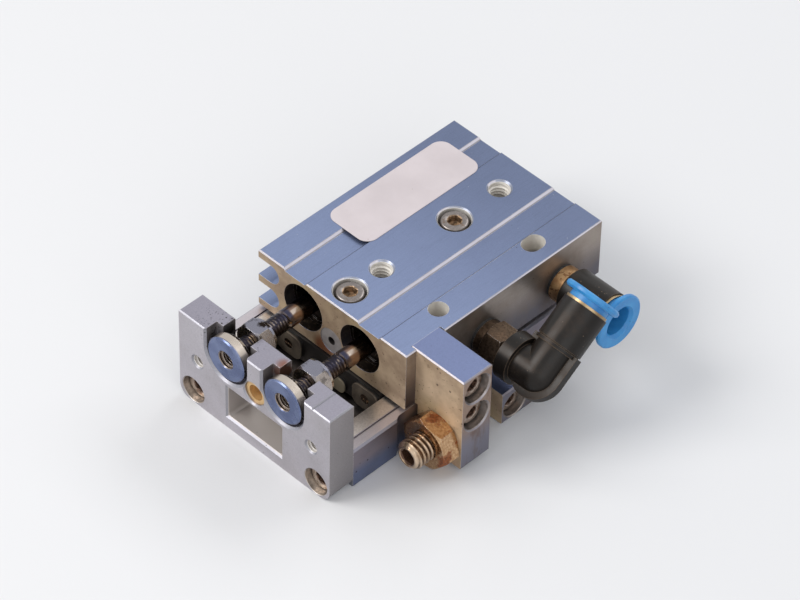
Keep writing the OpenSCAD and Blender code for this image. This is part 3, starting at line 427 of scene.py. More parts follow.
def housing_stains(s, color, rough, metal):
    """Painted highlight and shade on the channel slopes, pale hole walls with painted shade deeper
    down, bore walls painted dark as shade with brown streaks, brown grime round the ports, a
    golden front face, a top painted darker towards the rear and a painted bluish reflection low
    on the side.
    """
    # Painted shade: the top darkens towards the rear.
    color = s.shade(s.times(s.facing(UP), s.rise(Y, 0.0, HOUSING_HIGH.y)), color, 0.64)
    # Painted highlight on the slopes facing +X, painted shade on those facing -X.
    band = s.between(Z, TOP - 0.38 * MM, TOP - 0.12 * MM, 0.1 * MM)
    diagonal = 0.7071
    for across, tone in ((diagonal, srgb(204, 201, 211)), (-diagonal, srgb(98, 104, 128))):
        slope = s.times(s.facing((across, 0, diagonal), 0.92, 0.98), band)
        color = s.mix(slope, color, tone)

    holes = [s.wall(Z, (0, y, 0), MOUNT_R) for y in MOUNT_YS]
    holes += [s.wall(Z, (0, y, 0), GUIDE_BORE_R) for y in GUIDE_YS]
    dowels = s.times(s.between(X, DOWEL_X - DOWEL_R, DOWEL_X + DOWEL_R, 0.02 * MM),
                     s.between(Y, *DOWEL_YS, 0.02 * MM),
                     s.between(Z, TOP - LIT_DEPTH, TOP - 0.02 * MM, 0.01 * MM))
    hollow = s.any_of(dowels, *holes)
    pale = s.mix(s.patches(600, 4, 0.3, 0.7), srgb(212, 207, 200), srgb(230, 226, 219))
    # Painted shade: the walls of the holes darken deeper down.
    pale = s.shade(s.fall(Z, TOP - LIT_DEPTH, TOP - 3.4 * MM), pale, 0.35)
    color = s.mix(hollow, color, pale)

    front = s.times(s.facing(FRONT), s.fall(Y, 0.3 * MM, 0.4 * MM))
    color, metal = golden_face(s, color, metal, front, srgb(188, 164, 136), srgb(150, 126, 102))
    foot = s.times(front, s.near((-2 * MM, 0, HOUSING_LOW.z + 1 * MM), 1.4 * MM, 2 * MM))
    color = s.mix(s.times(foot, 0.9), color, RUST)

    # Painted shade: the bore walls are dark brown, with streaks.
    bore = s.times(s.wall(Y, ROD, BORE_R, mirrored=True),
                   s.between(Y, 0.1 * MM, 30 * MM, 0.1 * MM))
    streaks = s.patches(900, 4, 0.45, 0.75, rough=0.7)
    color = s.mix(bore, color, s.mix(streaks, srgb(36, 29, 25), srgb(98, 82, 68)))

    side = s.facing(SIDE)
    # Painted reflection: the lower side turns bluish dark.
    low = s.times(side, s.fall(Z, TOP - 12 * MM, TOP - 3.5 * MM))
    color = s.mix(s.times(low, 0.85), color, srgb(88, 88, 101))
    film = s.times(side, s.patches(150, 4, 0.4, 0.7, 0.0, 0.5, rough=0.6))
    color = s.mix(film, color, srgb(132, 116, 104))
    rims = s.any_of(*[s.near(port, 3.4 * MM, 4.8 * MM) for port in PORTS])
    corner = s.near((HOUSING_HIGH.x, PORT_A.y - 10 * MM, PORT_A.z), 2 * MM, 9 * MM)
    cloudy = s.patches(220, 2, 0.25, 0.75, 0.4, 1.0, rough=0.5)
    soot = s.times(side, s.any_of(s.times(rims, 0.75), corner), cloudy)
    color = s.mix(soot, color, srgb(82, 68, 57))
    rough = s.mix(s.any_of(s.times(front, 0.6), hollow, soot, bore), rough, (0.62, 0.62, 0.62))
    return color, rough, s.fade(hollow, metal, 0.25)


def yoke_stains(s, color, rough, metal):
    """Black grease flecks at the left rod's slot and a rust tint in the right one."""
    y = BUTTON_LOW.y
    left = (-ROD.x - 0.8 * MM, y + 3.6 * MM, ROD.z + 1.5 * MM)
    flecks = s.times(s.dots(1500, 0.2, 0.36), s.near(left, 4.6 * MM, 3.4 * MM),
                     s.patches(430, 3, 0.42, 0.54))
    behind = s.times(s.near((-ROD.x, y + 5.4 * MM, ROD.z + 1 * MM), 3.4 * MM, 2.4 * MM),
                     s.patches(300, 4, 0.35, 0.5))
    post = s.near((-ROD.x - 5.2 * MM, y + 3.8 * MM, YOKE_HIGH.z), 2.6 * MM, 3.4 * MM)
    sparse = s.times(post, s.dots(1900, 0.2, 0.34), s.patches(520, 3, 0.4, 0.5))
    color = s.mix(s.any_of(flecks, behind, s.times(sparse, 0.45)), color, SOOT)
    inner = s.times(s.near((ROD.x - 3.6 * MM, y + 4.2 * MM, ROD.z + 2.5 * MM), 1.6 * MM, 1.2 * MM),
                    s.patches(330, 4, 0.32, 0.5))
    color = s.mix(s.times(inner, 0.8), color, RUST)
    thread_hole = s.wall(Y, (YOKE_HOLE_X, 0, YOKE_HOLE_Z), 1.25 * MM, mirrored=True)
    color = s.mix(thread_hole, color, srgb(214, 209, 204))
    color = counterbores(s, color, Y, YOKE_SCREWS, YOKE_BORE_R, srgb(216, 206, 196))
    film = s.times(s.facing(FRONT), s.patches(130, 3, 0.4, 0.7, 0.0, 0.3))
    color = s.mix(film, color, srgb(150, 144, 144))
    window = s.times(s.between(X, -8.2 * MM, 8.2 * MM, 0.05 * MM),
                     s.between(Z, 2 * MM, 10.4 * MM, 0.05 * MM),
                     s.rise(Y, YOKE_LOW.y + 0.3 * MM, YOKE_LOW.y + 0.4 * MM))
    color = s.mix(window, color, srgb(188, 180, 175))
    metal = s.fade(s.any_of(window, thread_hole), metal, 0.4)
    return color, rough, metal


def block_stains(s, color, rough, metal):
    """Golden machined fronts; brown speckled sides painted bluish grey low down as reflection."""
    front = s.facing(FRONT)
    color, metal = golden_face(s, color, metal, front, srgb(208, 182, 150), srgb(172, 146, 118))
    side = s.facing(SIDE)
    # Painted reflection: the lower sides turn bluish grey.
    lower = s.times(side, s.fall(Z, TOP - 18 * MM, TOP - 11 * MM))
    color = s.mix(lower, color, srgb(131, 129, 141))
    drips = s.noise(260, 4, 0.65, s.scaled((1, 1, 0.35)))
    color = s.mix(s.times(side, s.ramp(drips, 0.5, 0.66, 0.0, 0.6)), color, srgb(110, 86, 70))
    color = counterbores(s, color, X, SIDE_SCREWS, BLOCK_BORE_R, srgb(160, 150, 144))
    return color, s.mix(s.times(front, 0.5), rough, (0.58, 0.58, 0.58)), metal


def table_stains(s, color, rough, metal):
    """Grey outer walls, painted lighter high up and bluish lower down as reflection, painted light
    brown near the stop where they lie in shade, and a grimy floor.
    """
    inside = s.times(s.facing(UP), s.between(Z, 3 * MM, 5.3 * MM, 0.1 * MM))
    floor = s.mix(s.patches(230, 4, 0.35, 0.65), srgb(48, 43, 41), srgb(116, 108, 104))
    color = s.mix(inside, color, floor)
    side = s.facing(SIDE)
    # Painted reflection: the outer walls are lighter high up and bluish below.
    color = s.mix(s.times(side, s.rise(Z, 2.5 * MM, 6 * MM)), color, srgb(142, 134, 143))
    outer = s.times(side, s.patches(180, 4, 0.4, 0.7, 0.0, 0.4))
    color = s.mix(outer, color, srgb(100, 98, 108))
    pits = s.times(side, s.specks(560, 0.14, 130, 0.42, 0.52))
    color = s.mix(pits, color, srgb(60, 56, 60))
    stop = middle("stop_screw")
    # Painted light: the shaded walls near the stop get a light brown, less metallic.
    brown = s.near((HOUSING_HIGH.x, stop.y + 3 * MM, stop.z + 1 * MM), 4.4 * MM, 3.4 * MM)
    color = s.mix(s.times(brown, 0.85), color, srgb(158, 132, 114))
    return color, rough, s.fade(brown, metal, 0.3)


# ------------------------ steels

def worn_steel(name, light, dark, stain, amount, rough=(0.24, 0.5), scale=300, edge=0.5):
    """Turned steel with oil or rust stains in patches; amount is the share stained."""
    s = Shader(name)
    patch = s.noise(scale, 5, 0.65)
    fine = s.noise(scale * 9, 3, 0.6)
    color = s.mix(s.ramp(fine, 0.3, 0.7), dark, light)
    stained = s.ramp(patch, 0.62 - amount * 0.4, 0.74 - amount * 0.4)
    deep = [c * 0.5 for c in stain]
    color = s.mix(stained, color, s.mix(s.ramp(fine, 0.35, 0.65), stain, deep))
    blend = s.math("ADD", s.math("MULTIPLY", stained, 0.6), s.math("MULTIPLY", fine, 0.4))
    roughness = s.ramp(blend, 0.1, 0.9, rough[0], rough[1])
    metal = s.fade(stained, 1.0, 0.65)
    color = s.edge_wear_and_highlight(color, BRIGHT_EDGE, 0.12 * MM, 0.03, 0.3, edge)
    height = s.math("ADD", fine, s.math("MULTIPLY", stained, 0.7))
    normal = s.bump(height, 0.2, 0.03 * MM, s.rounded(0.06 * MM))
    return s.surface(color, roughness, metal, normal)


def plug_steel():
    """Plain grey plug between the bores, with its hole at the middle painted dark as shade."""
    s = Shader("plug_metal")
    # Painted shade: the hole at the plug's middle is near black.
    hole = s.under(s.off_axis(Y, middle("front_plug")), 0.85 * MM, 0.95 * MM)
    haze = s.noise(500, 3)
    color = s.mix(s.ramp(haze, 0.3, 0.7), srgb(158, 152, 152), srgb(176, 171, 170))
    color = s.mix(hole, color, srgb(28, 24, 22))
    return s.surface(color, 0.5, s.fade(hole, 0.45, 0.0), s.rounded(0.06 * MM))


def screw_metal(name, ring, socket, stain, amount, heads, plugs=False):
    """Cap screws: a smooth turned ring round a copper-brown socket with painted glints and
    shade. Heads lists their axes as an index and a point; with plugs, the small plugs in the
    guide's end caps are grimy."""
    s = Shader(name)
    patch = s.noise(420, 4, 0.6)
    fine = s.noise(3200, 2, 0.5)
    color = s.mix(s.ramp(fine, 0.35, 0.65), [c * 0.8 for c in ring], ring)
    stained = s.ramp(patch, 0.62 - amount * 0.4, 0.76 - amount * 0.4)
    color = s.mix(s.times(stained, 0.85), color, stain)
    inner = s.any_of(*[s.under(s.off_axis(index, point), 1.4 * MM, 1.58 * MM)
                       for index, point in heads])
    # Painted glints and shade: noise between a dark and a bright socket colour.
    glint = s.patches(1300, 2, 0.46, 0.6)
    color = s.mix(inner, color, s.mix(glint, [c * 0.4 for c in socket], socket))
    color = s.edge_wear_and_highlight(color, srgb(196, 184, 170), 0.12 * MM, 0.03, 0.3, s.fade(inner, 0.7, 0.25))
    if plugs:
        ends = s.any_of(s.fall(Y, -0.4 * MM, 0.0), s.rise(Y, 36 * MM, 36.4 * MM))
        grimy = s.mix(s.ramp(fine, 0.4, 0.6), srgb(40, 32, 27), srgb(96, 78, 62))
        color = s.mix(ends, color, grimy)
    normal = s.bump(fine, 0.08, 0.02 * MM, s.rounded(0.08 * MM))
    rough = s.mix(inner, s.ramp(patch, 0.3, 0.7, 0.26, 0.38), (0.5, 0.5, 0.5))
    return s.surface(color, rough, s.fade(inner, 0.95, 0.6), normal)


def thread_metal():
    """Stop screw: bright beige crests, brown roots and a dark brown socket."""
    s = Shader("thread_steel")
    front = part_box("stop_screw")[0].y
    out = s.off_axis(Y, middle("stop_screw"))
    haze = s.noise(420, 3, 0.5)
    fine = s.noise(3200, 2, 0.5)
    crest = s.mix(s.ramp(haze, 0.35, 0.65), srgb(172, 146, 120), srgb(208, 186, 162))
    root = s.mix(s.ramp(haze, 0.4, 0.6), srgb(104, 78, 58), srgb(68, 53, 44))
    color = s.mix(s.ramp(out, 2.58 * MM, 2.95 * MM), root, crest)
    face = s.fall(Y, front + 0.5 * MM, front + 0.75 * MM)
    color = s.mix(face, color, crest)
    socket = s.under(out, 1.76 * MM, 1.86 * MM)
    color = s.mix(socket, color, srgb(96, 70, 55))
    normal = s.bump(fine, 0.06, 0.02 * MM, s.rounded(0.06 * MM))
    metal = s.fade(socket, 1.0, 0.5)
    return s.surface(color, s.ramp(haze, 0.3, 0.7, 0.22, 0.34), metal, normal)


def rod_metal():
    """Chromed rods with painted reflections: blue-black tops, brownish sides and a copper band near
    the housing, with a painted highlight strip there; a greasy thread with painted glints and a
    bluish top; the rod painted dark as shade inside the bore.
    """
    s = Shader("rod_chrome")
    fine = s.noise(900, 4, 0.6)
    # Painted reflection: blue-black on top, brownish on the sides.
    color = s.mix(s.facing(UP, 0.1, 0.9), srgb(146, 130, 116), srgb(66, 66, 84))
    # Painted reflection: a copper band near the housing.
    copper = s.times(s.between(Y, -3.4 * MM, 0.6 * MM, 0.8 * MM),
                     s.facing((0.8, -0.3, 0.3), -0.1, 0.6))
    color = s.mix(s.times(copper, 0.85), color, srgb(166, 136, 112))
    # Painted highlight: a pale strip along the top of the rod near the housing.
    rod_highlight = s.times(s.between(Y, -3.6 * MM, 0.2 * MM, 0.4 * MM),
                     s.facing((0.42, 0, 0.91), 0.95, 0.995))
    color = s.mix(s.times(rod_highlight, 0.7), color, srgb(216, 204, 194))
    # Painted shade: the rod darkens inside the bore.
    color = s.mix(s.rise(Y, 0.2 * MM, 2.6 * MM), color, srgb(44, 35, 30))
    threaded = s.fall(Y, ROD_THREAD_END - 0.1 * MM, ROD_THREAD_END + 0.1 * MM)
    # Painted glints on the thread crests, and a painted bluish reflection on top of the greasy
    # thread.
    crest = s.ramp(s.off_axis(Y, ROD, mirrored=True), 1.9 * MM, 1.96 * MM)
    glint = s.times(crest, s.patches(700, 3, 0.48, 0.62, 0.0, 0.6))
    greasy = s.mix(s.facing(UP, 0.3, 0.9), srgb(62, 51, 44), srgb(46, 44, 54))
    color = s.mix(threaded, color, s.mix(glint, greasy, srgb(150, 136, 122)))
    stub = s.fall(Y, BUTTON_HIGH.y - 1 * MM, BUTTON_HIGH.y)
    color = s.mix(stub, color, srgb(52, 44, 40))
    dull = s.times(threaded, s.opposite(glint))
    rough = s.mix(dull, s.ramp(fine, 0.3, 0.7, 0.1, 0.22), (0.36, 0.36, 0.36))
    return s.surface(color, rough, 1.0, s.bump(fine, 0.05, 0.02 * MM))


def nut_metal():
    """Plated nuts: a painted reflection, dark bluish on top and beige lower down, with black
    grease in patches.
    """
    s = Shader("nut_plated")
    fine = s.noise(2600, 3, 0.6)
    # Painted reflection: bluish on the top facets, beige on the side facets.
    color = s.mix(s.facing(UP, 0.2, 0.7), srgb(218, 203, 180), srgb(132, 132, 144))
    color = s.shade(s.ramp(fine, 0.45, 0.7, 0.0, 0.3), color, 0.75)
    grease = s.patches(420, 4, 0.52, 0.64, rough=0.6)
    left = s.fall(X, -6 * MM, -4 * MM)
    color = s.mix(s.times(grease, s.fade(left, 0.55, 1.0)), color, SOOT)
    color = s.edge_wear_and_highlight(color, srgb(226, 220, 212), 0.12 * MM, 0.03, 0.3, 0.7)
    return s.surface(color, s.ramp(fine, 0.3, 0.7, 0.2, 0.34), 1.0, s.rounded(0.07 * MM))


def polished_face():
    """Buttons: polished face painted blue-grey as reflection, with fine turning rings, sides
    painted pale as highlight, and a dark greasy step behind it.
    """
    s = Shader("polished_steel")
    haze = s.noise(260, 3, 0.5)
    ring = s.noise(6000, 2, 0.5, s.line(s.off_axis(Y, ROD, mirrored=True)))
    # Painted reflection: the face is blue-grey.
    color = s.mix(s.ramp(haze, 0.3, 0.7), srgb(94, 106, 142), srgb(120, 132, 166))
    color = s.shade(s.ramp(ring, 0.45, 0.65, 0.0, 0.5), color, 0.86)
    # Painted highlight: the sides of the button are pale.
    rim = s.rise(Y, BUTTON_LOW.y + 0.3 * MM, BUTTON_LOW.y + 0.6 * MM)
    color = s.mix(rim, color, srgb(190, 180, 170))
    bore = s.wall(Y, ROD, 1.9 * MM, mirrored=True)
    color = s.mix(bore, color, srgb(148, 136, 126))
    step = s.rise(Y, BUTTON_LOW.y + 2.15 * MM, BUTTON_LOW.y + 2.3 * MM)
    greasy = s.mix(s.patches(900, 4, 0.5, 0.64), srgb(34, 28, 26), srgb(128, 116, 104))
    color = s.mix(s.times(step, s.opposite(bore)), color, greasy)
    color = s.edge_wear_and_highlight(color, srgb(206, 201, 200), 0.16 * MM, 0.03, 0.25, 0.75)
    rough = s.mix(step, s.ramp(haze, 0.3, 0.7, 0.24, 0.34), (0.5, 0.5, 0.5))
    return s.surface(color, rough, 1.0, s.rounded(0.1 * MM))


def cover_metal():
    """Rod covers: dark dished faces with radial machining marks painted pale as highlights."""
    s = Shader("cover_dark")
    across = s.math("SUBTRACT", s.math("ABSOLUTE", s.axis(X)), ROD.x)
    up = s.math("SUBTRACT", s.axis(Z), ROD.z)
    angle = s.math("ARCTAN2", up, across)
    # Painted highlight: pale radial streaks on the machining marks.
    radial_mark_sheen = s.ramp(s.noise(15.0, 3, 0.6, s.line(angle)), 0.54, 0.68)
    patch = s.patches(380, 3, 0.4, 0.6)
    color = s.mix(s.times(radial_mark_sheen, patch), srgb(34, 28, 25), srgb(120, 106, 92))
    return s.surface(color, 0.42, 0.9, s.bump(radial_mark_sheen, 0.3, 0.04 * MM))


def brass(name, light, dark, soot, metal=0.9):
    """Brass with brown grains in patches; soot is how strongly they show."""
    s = Shader(name)
    patch = s.noise(360, 5, 0.65)
    fine = s.noise(2600, 3)
    color = s.mix(s.ramp(patch, 0.3, 0.7), dark, light)
    grains = s.times(s.patches(1300, 4, 0.5, 0.62), s.ramp(patch, 0.44, 0.56))
    color = s.mix(s.times(grains, soot), color, srgb(110, 62, 34))
    color = s.edge_wear_and_highlight(color, srgb(206, 184, 150), 0.1 * MM, 0.03, 0.3, 0.4)
    normal = s.bump(fine, 0.2, 0.03 * MM)
    return s.surface(color, s.ramp(patch, 0.3, 0.7, 0.3, 0.45), metal, normal)


# ------------------------ plastics, rubber and paper

def fitting_plastic():
    """Black moulded plastic with brown dust on the flat web, the joint line and the edges, and a
    brown film on upper faces that is dust and a painted soft highlight.
    """
    s = Shader("fitting_plastic")
    dust = s.noise(260, 5, 0.65)
    fine = s.noise(3600, 2, 0.5)
    near_port = s.under(s.off_axis(X, PORT_A), 12 * MM, 14 * MM)
    web = s.times(s.facing(ELBOW_FLAT, 0.965, 0.99), near_port)
    # Dust film, stronger on upper faces, where it is also a painted soft highlight.
    upper = s.facing(UP, -0.1, 0.9)
    film = s.times(s.ramp(dust, 0.45, 0.75), s.fade(upper, 0.1, 0.32))
    color = s.mix(film, srgb(25, 21, 18), srgb(66, 52, 42))
    color = s.mix(s.times(web, s.ramp(dust, 0.3, 0.6, 0.5, 0.9)), color, srgb(52, 41, 33))
    color = s.edge_wear_and_highlight(color, srgb(118, 99, 80), 0.26 * MM, 0.02, 0.2, 0.6)
    color = s.mix(s.specks(1500, 0.16, 320, 0.55, 0.65), color, srgb(126, 108, 88))
    rough = s.ramp(dust, 0.3, 0.7, 0.32, 0.46)
    normal = s.bump(fine, 0.14, 0.03 * MM, s.rounded(0.12 * MM))
    return s.surface(color, rough, 0.0, normal, Specular_IOR_Level=0.25)


def cap_plastic():
    """Guide end caps: black recesses, grey-brown lobes of dust and painted sheen with pale rims of
    wear and painted highlight, a beige middle pad.
    """
    s = Shader("cap_plastic")
    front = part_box("end_cap_front")[0].y
    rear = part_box("end_cap_rear")[1].y
    lobe = s.any_of(s.fall(Y, front + 0.2 * MM, front + 0.4 * MM),
                    s.rise(Y, rear - 0.4 * MM, rear - 0.2 * MM))
    pad = s.times(lobe, s.between(X, -4.9 * MM, 4.9 * MM, 0.1 * MM))
    dust = s.noise(420, 4, 0.6)
    # Dust and painted sheen: the lobes' front faces are grey-brown.
    dusty_sheen = s.mix(s.ramp(dust, 0.3, 0.7), srgb(66, 58, 51), srgb(104, 94, 82))
    color = s.mix(lobe, srgb(26, 23, 22), dusty_sheen)
    color = s.mix(pad, color, srgb(142, 132, 112))
    # Pale rims of wear and painted highlight.
    color = s.edge_wear_and_highlight(color, srgb(150, 140, 124), 0.16 * MM, 0.02, 0.22, lobe, 0.85)
    return s.surface(color, s.ramp(dust, 0.3, 0.7, 0.35, 0.55), 0.1, s.rounded(0.1 * MM))


def blue_plastic():
    """Release rings: slightly translucent light blue with pale edges and dirt specks."""
    s = Shader("blue_plastic")
    haze = s.noise(320, 3, 0.6)
    color = s.mix(s.ramp(haze, 0.3, 0.7), srgb(42, 130, 196), srgb(62, 150, 210))
    color = s.edge_wear_and_highlight(color, srgb(122, 188, 232), 0.2 * MM, 0.02, 0.25, 0.5)
    dirt = s.specks(900, 0.18, 260, 0.55, 0.66)
    color = s.mix(s.times(dirt, 0.5), color, srgb(46, 70, 96))
    depth = (0.4 * MM, 0.8 * MM, 1.4 * MM)
    return s.surface(color, s.ramp(haze, 0.3, 0.7, 0.3, 0.44), 0.0, s.rounded(0.14 * MM),
                     Subsurface_Weight=0.12, Subsurface_Radius=depth)


def rubber(name, color):
    """Dull dark rubber, or a sintered magnet, with a fine grain."""
    s = Shader(name)
    grain = s.noise(2200, 3)
    color = s.mix(s.ramp(grain, 0.3, 0.7), color, [c * 2.2 for c in color])
    return s.surface(color, 0.62, 0.0, s.bump(grain, 0.2, 0.03 * MM))


def label_paper():
    """Off-white film with faint marks, a slightly grey rim and a soft sheen."""
    s = Shader("label_film")
    cloud = s.noise(110, 4, 0.55)
    fibre = s.noise(2600, 3, 0.6)
    color = s.mix(s.ramp(cloud, 0.3, 0.7), srgb(200, 190, 192), srgb(210, 200, 202))
    color = s.mix(s.ramp(fibre, 0.62, 0.8, 0.0, 0.25), color, srgb(180, 170, 168))
    rim = s.fall(Z, TOP + 0.02 * MM, TOP + 0.1 * MM)
    color = s.mix(rim, color, srgb(158, 150, 150))
    color = s.mix(s.times(s.specks(700, 0.1, 200), 0.6), color, srgb(140, 126, 116))
    normal = s.bump(cloud, 0.25, 0.1 * MM)
    return s.surface(color, s.ramp(cloud, 0.3, 0.7, 0.45, 0.58), 0.0, normal)


ALLOY = srgb(150, 152, 160)
GUIDE_HEADS = [(Z, (0, y, 0)) for y in GUIDE_YS]
OUTER_HEADS = [(Y, point) for point in YOKE_SCREWS] + [(X, point) for point in SIDE_SCREWS]

# The finish of each material slot in the record
# The tones for each side below are painted light, shade and reflection.
MATERIALS = {
    "anodised_body": aluminium(
        "anodised_body", ALLOY,
        [(UP, srgb(129, 142, 175)), (SIDE, srgb(160, 149, 140)), (OTHER_SIDE, srgb(146, 150, 166))],
        housing_stains, seams=HOUSING_SEAMS),
    "anodised_table": aluminium(
        "anodised_table", ALLOY,
        [(UP, srgb(196, 189, 194)), (SIDE, srgb(114, 124, 154)), (OTHER_SIDE, srgb(120, 126, 146))],
        table_stains),
    "anodised_yoke": aluminium(
        "anodised_yoke", ALLOY,
        [(FRONT, srgb(186, 182, 188)), (UP, srgb(153, 150, 162)), (SIDE, srgb(152, 148, 150))],
        yoke_stains, streak=(40, 40, 40), seams=YOKE_SEAMS),
    "machined_alloy": aluminium(
        "machined_alloy", ALLOY,
        [(UP, srgb(119, 130, 166)), (SIDE, srgb(152, 130, 116))],
        block_stains, streak=(30, 30, 30)),
    "plug_metal": plug_steel(),
    "label_film": label_paper(),
    "spring_steel": worn_steel(
        "spring_steel", srgb(70, 62, 56), srgb(40, 36, 33), srgb(40, 30, 24), 0.4),
    "cover_bronze": cover_metal(),
    "seal_rubber": rubber("seal_rubber", (0.018, 0.018, 0.018)),
    "guide_steel": worn_steel(
        "guide_steel", srgb(224, 217, 212), srgb(206, 199, 194), srgb(150, 134, 122), 0.06,
        rough=(0.34, 0.5)),
    "ball_steel": worn_steel(
        "ball_steel", srgb(214, 214, 216), srgb(198, 198, 202), srgb(150, 142, 134), 0.0),
    "black_plastic": cap_plastic(),
    "screw_steel": screw_metal(
        "screw_steel", srgb(138, 131, 128), srgb(174, 143, 112), srgb(112, 90, 72), 0.1,
        GUIDE_HEADS, plugs=True),
    "rusty_screw": screw_metal(
        "rusty_screw", srgb(182, 168, 156), srgb(132, 104, 88), srgb(118, 88, 72), 0.3,
        OUTER_HEADS),
    "thread_steel": thread_metal(),
    "nut_brass_rust": worn_steel(
        "nut_brass_rust", srgb(206, 172, 134), srgb(166, 128, 92), srgb(150, 88, 50), 0.34,
        rough=(0.22, 0.42), scale=260),
    "amber_bush": brass("amber_bush", srgb(232, 194, 134), srgb(204, 170, 124), 0.1, 0.6),
    "rod_steel": rod_metal(),
    "nut_steel": nut_metal(),
    "polished_steel": polished_face(),
    "magnet_dark": rubber("magnet_dark", (0.05, 0.05, 0.055)),
    "stud_dark": worn_steel(
        "stud_dark", srgb(100, 84, 70), srgb(68, 57, 48), srgb(100, 79, 61), 0.3,
        rough=(0.34, 0.5), scale=240, edge=0.8),
    "stud_brass": brass("stud_brass", srgb(208, 174, 130), srgb(168, 130, 94), 0.8),
    "collar_brass": brass("collar_brass", srgb(188, 168, 132), srgb(146, 122, 90), 0.3),
    "fitting_plastic": fitting_plastic(),
    "blue_plastic": blue_plastic(),
}


def dress(node):
    """Gives a CAD node the finish of its record slot."""
    slots = NODES[node].data.materials
    slots.clear()
    slots.append(MATERIALS[SLOTS[node]])


for node_name in NODES:
    dress(node_name)


# ------------------------ turned and threaded pieces

def finish_piece(name, mesh, node, replaces=True, sharp=28):
    """Makes an object of the mesh, with the finish and the body of a CAD node. Unless told not to,
    it stands for that node. Edges sharper than an angle in degrees stay sharp."""
    data = bpy.data.meshes.new(name)
    bmesh.ops.recalc_face_normals(mesh, faces=mesh.faces)
    mesh.to_mesh(data)
    mesh.free()
    for polygon in data.polygons:
        polygon.use_smooth = True
    data.set_sharp_from_angle(angle=math.radians(sharp))
    piece = bpy.data.objects.new(name, data)
    bpy.context.scene.collection.objects.link(piece)
    data.materials.append(MATERIALS[SLOTS[node]])
    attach(piece, BODY_OF[node])
    if replaces:
        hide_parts(node)


def placed(point, direction):
    """Frame with its origin at a point and local +Z along a direction."""
    turn = Vector(direction).to_track_quat("Z", "Y").to_matrix().to_4x4()
    return Matrix.Translation(Vector(point)) @ turn


def close_shell(mesh, loops):
    """Faces between neighbouring loops of equally many points, and one over each end."""
    count = len(loops[0])
    for low, high in zip(loops, loops[1:]):
        for i in range(count):
            j = (i + 1) % count
            mesh.faces.new((low[i], low[j], high[j], high[i]))
    mesh.faces.new(reversed(loops[0]))
    mesh.faces.new(loops[-1])


def on_ring(place, radius, angle, along):
    """Point at a radius and an angle round local +Z."""
    return place @ Vector((radius * math.cos(angle), radius * math.sin(angle), along))


def add_rings(mesh, place, rings, sides=48):
    """Closed shell of rings round local +Z; a ring is (distance, radius), and a radius is a number
    or a function of distance and angle."""
    loops = []
    for along, radius in rings:
        loop = []
        for i in range(sides):
            angle = 2 * math.pi * i / sides
            reach = radius(along, angle) if callable(radius) else radius
            loop.append(mesh.verts.new(on_ring(place, reach, angle, along)))
        loops.append(loop)
    close_shell(mesh, loops)


def thread(root, crest, pitch):
    """Radius of a right-hand thread with flat crests and roots."""
    flank = 1.7
    root_flat = 0.35

    def radius(along, angle):
        phase = (along / pitch - angle / (2 * math.pi)) % 1
        height = flank * (1 - abs(2 * phase - 1)) - root_flat
        return root + (crest - root) * min(1, max(0, height))

    return radius


def hexagon(across_flats):
    """Radius of a hexagon round its centre."""
    def radius(along, angle):
        return across_flats / 2 / math.cos(angle % (math.pi / 3) - math.pi / 6)
    return radius


def knurl(radius_out, depth, sides):
    """Radius of a ribbed rim: every second side lies deeper."""
    def radius(along, angle):
        return radius_out - depth * (round(angle * sides / (2 * math.pi)) % 2)
    return radius


def steps(start, end, spacing):
    """Even steps from start to end, both of them included."""
    count = max(1, round((end - start) / spacing))
    return [start + (end - start) * i / count for i in range(count + 1)]


def add_cap_screw(mesh, place, length):
    """Socket cap screw along local +Z: head underside at 0, ribbed rim, rounded top edge."""
    rim = knurl(HEAD_R, 0.09 * MM, KNURL_SIDES)
    socket = hexagon(SOCKET_AF)
    lip = SOCKET_AF / 2 / math.cos(math.pi / 6) + 0.12 * MM
    tip_bevel = 0.3 * MM
    edge = 0.42 * MM
    edge_steps = 5
    shoulder = HEAD_R - 0.02 * MM
    rings = [(-length, SHANK_R - tip_bevel), (-length + tip_bevel, SHANK_R), (0, SHANK_R),
             (0, HEAD_R - 0.12 * MM), (0.12 * MM, HEAD_R), (0.35 * MM, HEAD_R), (0.4 * MM, rim),
             (HEAD_H - edge - 0.05 * MM, rim), (HEAD_H - edge, shoulder)]
    for i in range(1, edge_steps + 1):
        turn = math.pi / 2 * i / edge_steps
        rings.append((HEAD_H - edge * (1 - math.sin(turn)), shoulder - edge * (1 - math.cos(turn))))
    rings += [(HEAD_H, lip), (HEAD_H - 0.14 * MM, socket), (HEAD_H - 1.55 * MM, socket),
              (HEAD_H - 1.9 * MM, 0.35 * MM)]
    add_rings(mesh, place, rings, KNURL_SIDES)


def make_cap_screws(node, direction, spread=None):
    """Cap screws in place of a node's plain ones, with their heads towards a direction: one, or two
    that lie apart along the spread axis."""
    low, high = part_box(node)
    along = Vector(direction)
    length = abs((high - low).dot(along)) - HEAD_H
    mesh = bmesh.new()
    for point in screw_centres(node, spread):
        top = point + along * (length + HEAD_H) / 2
        add_cap_screw(mesh, placed(top - along * HEAD_H, along), length)
    finish_piece(node + "_knurled", mesh, node)


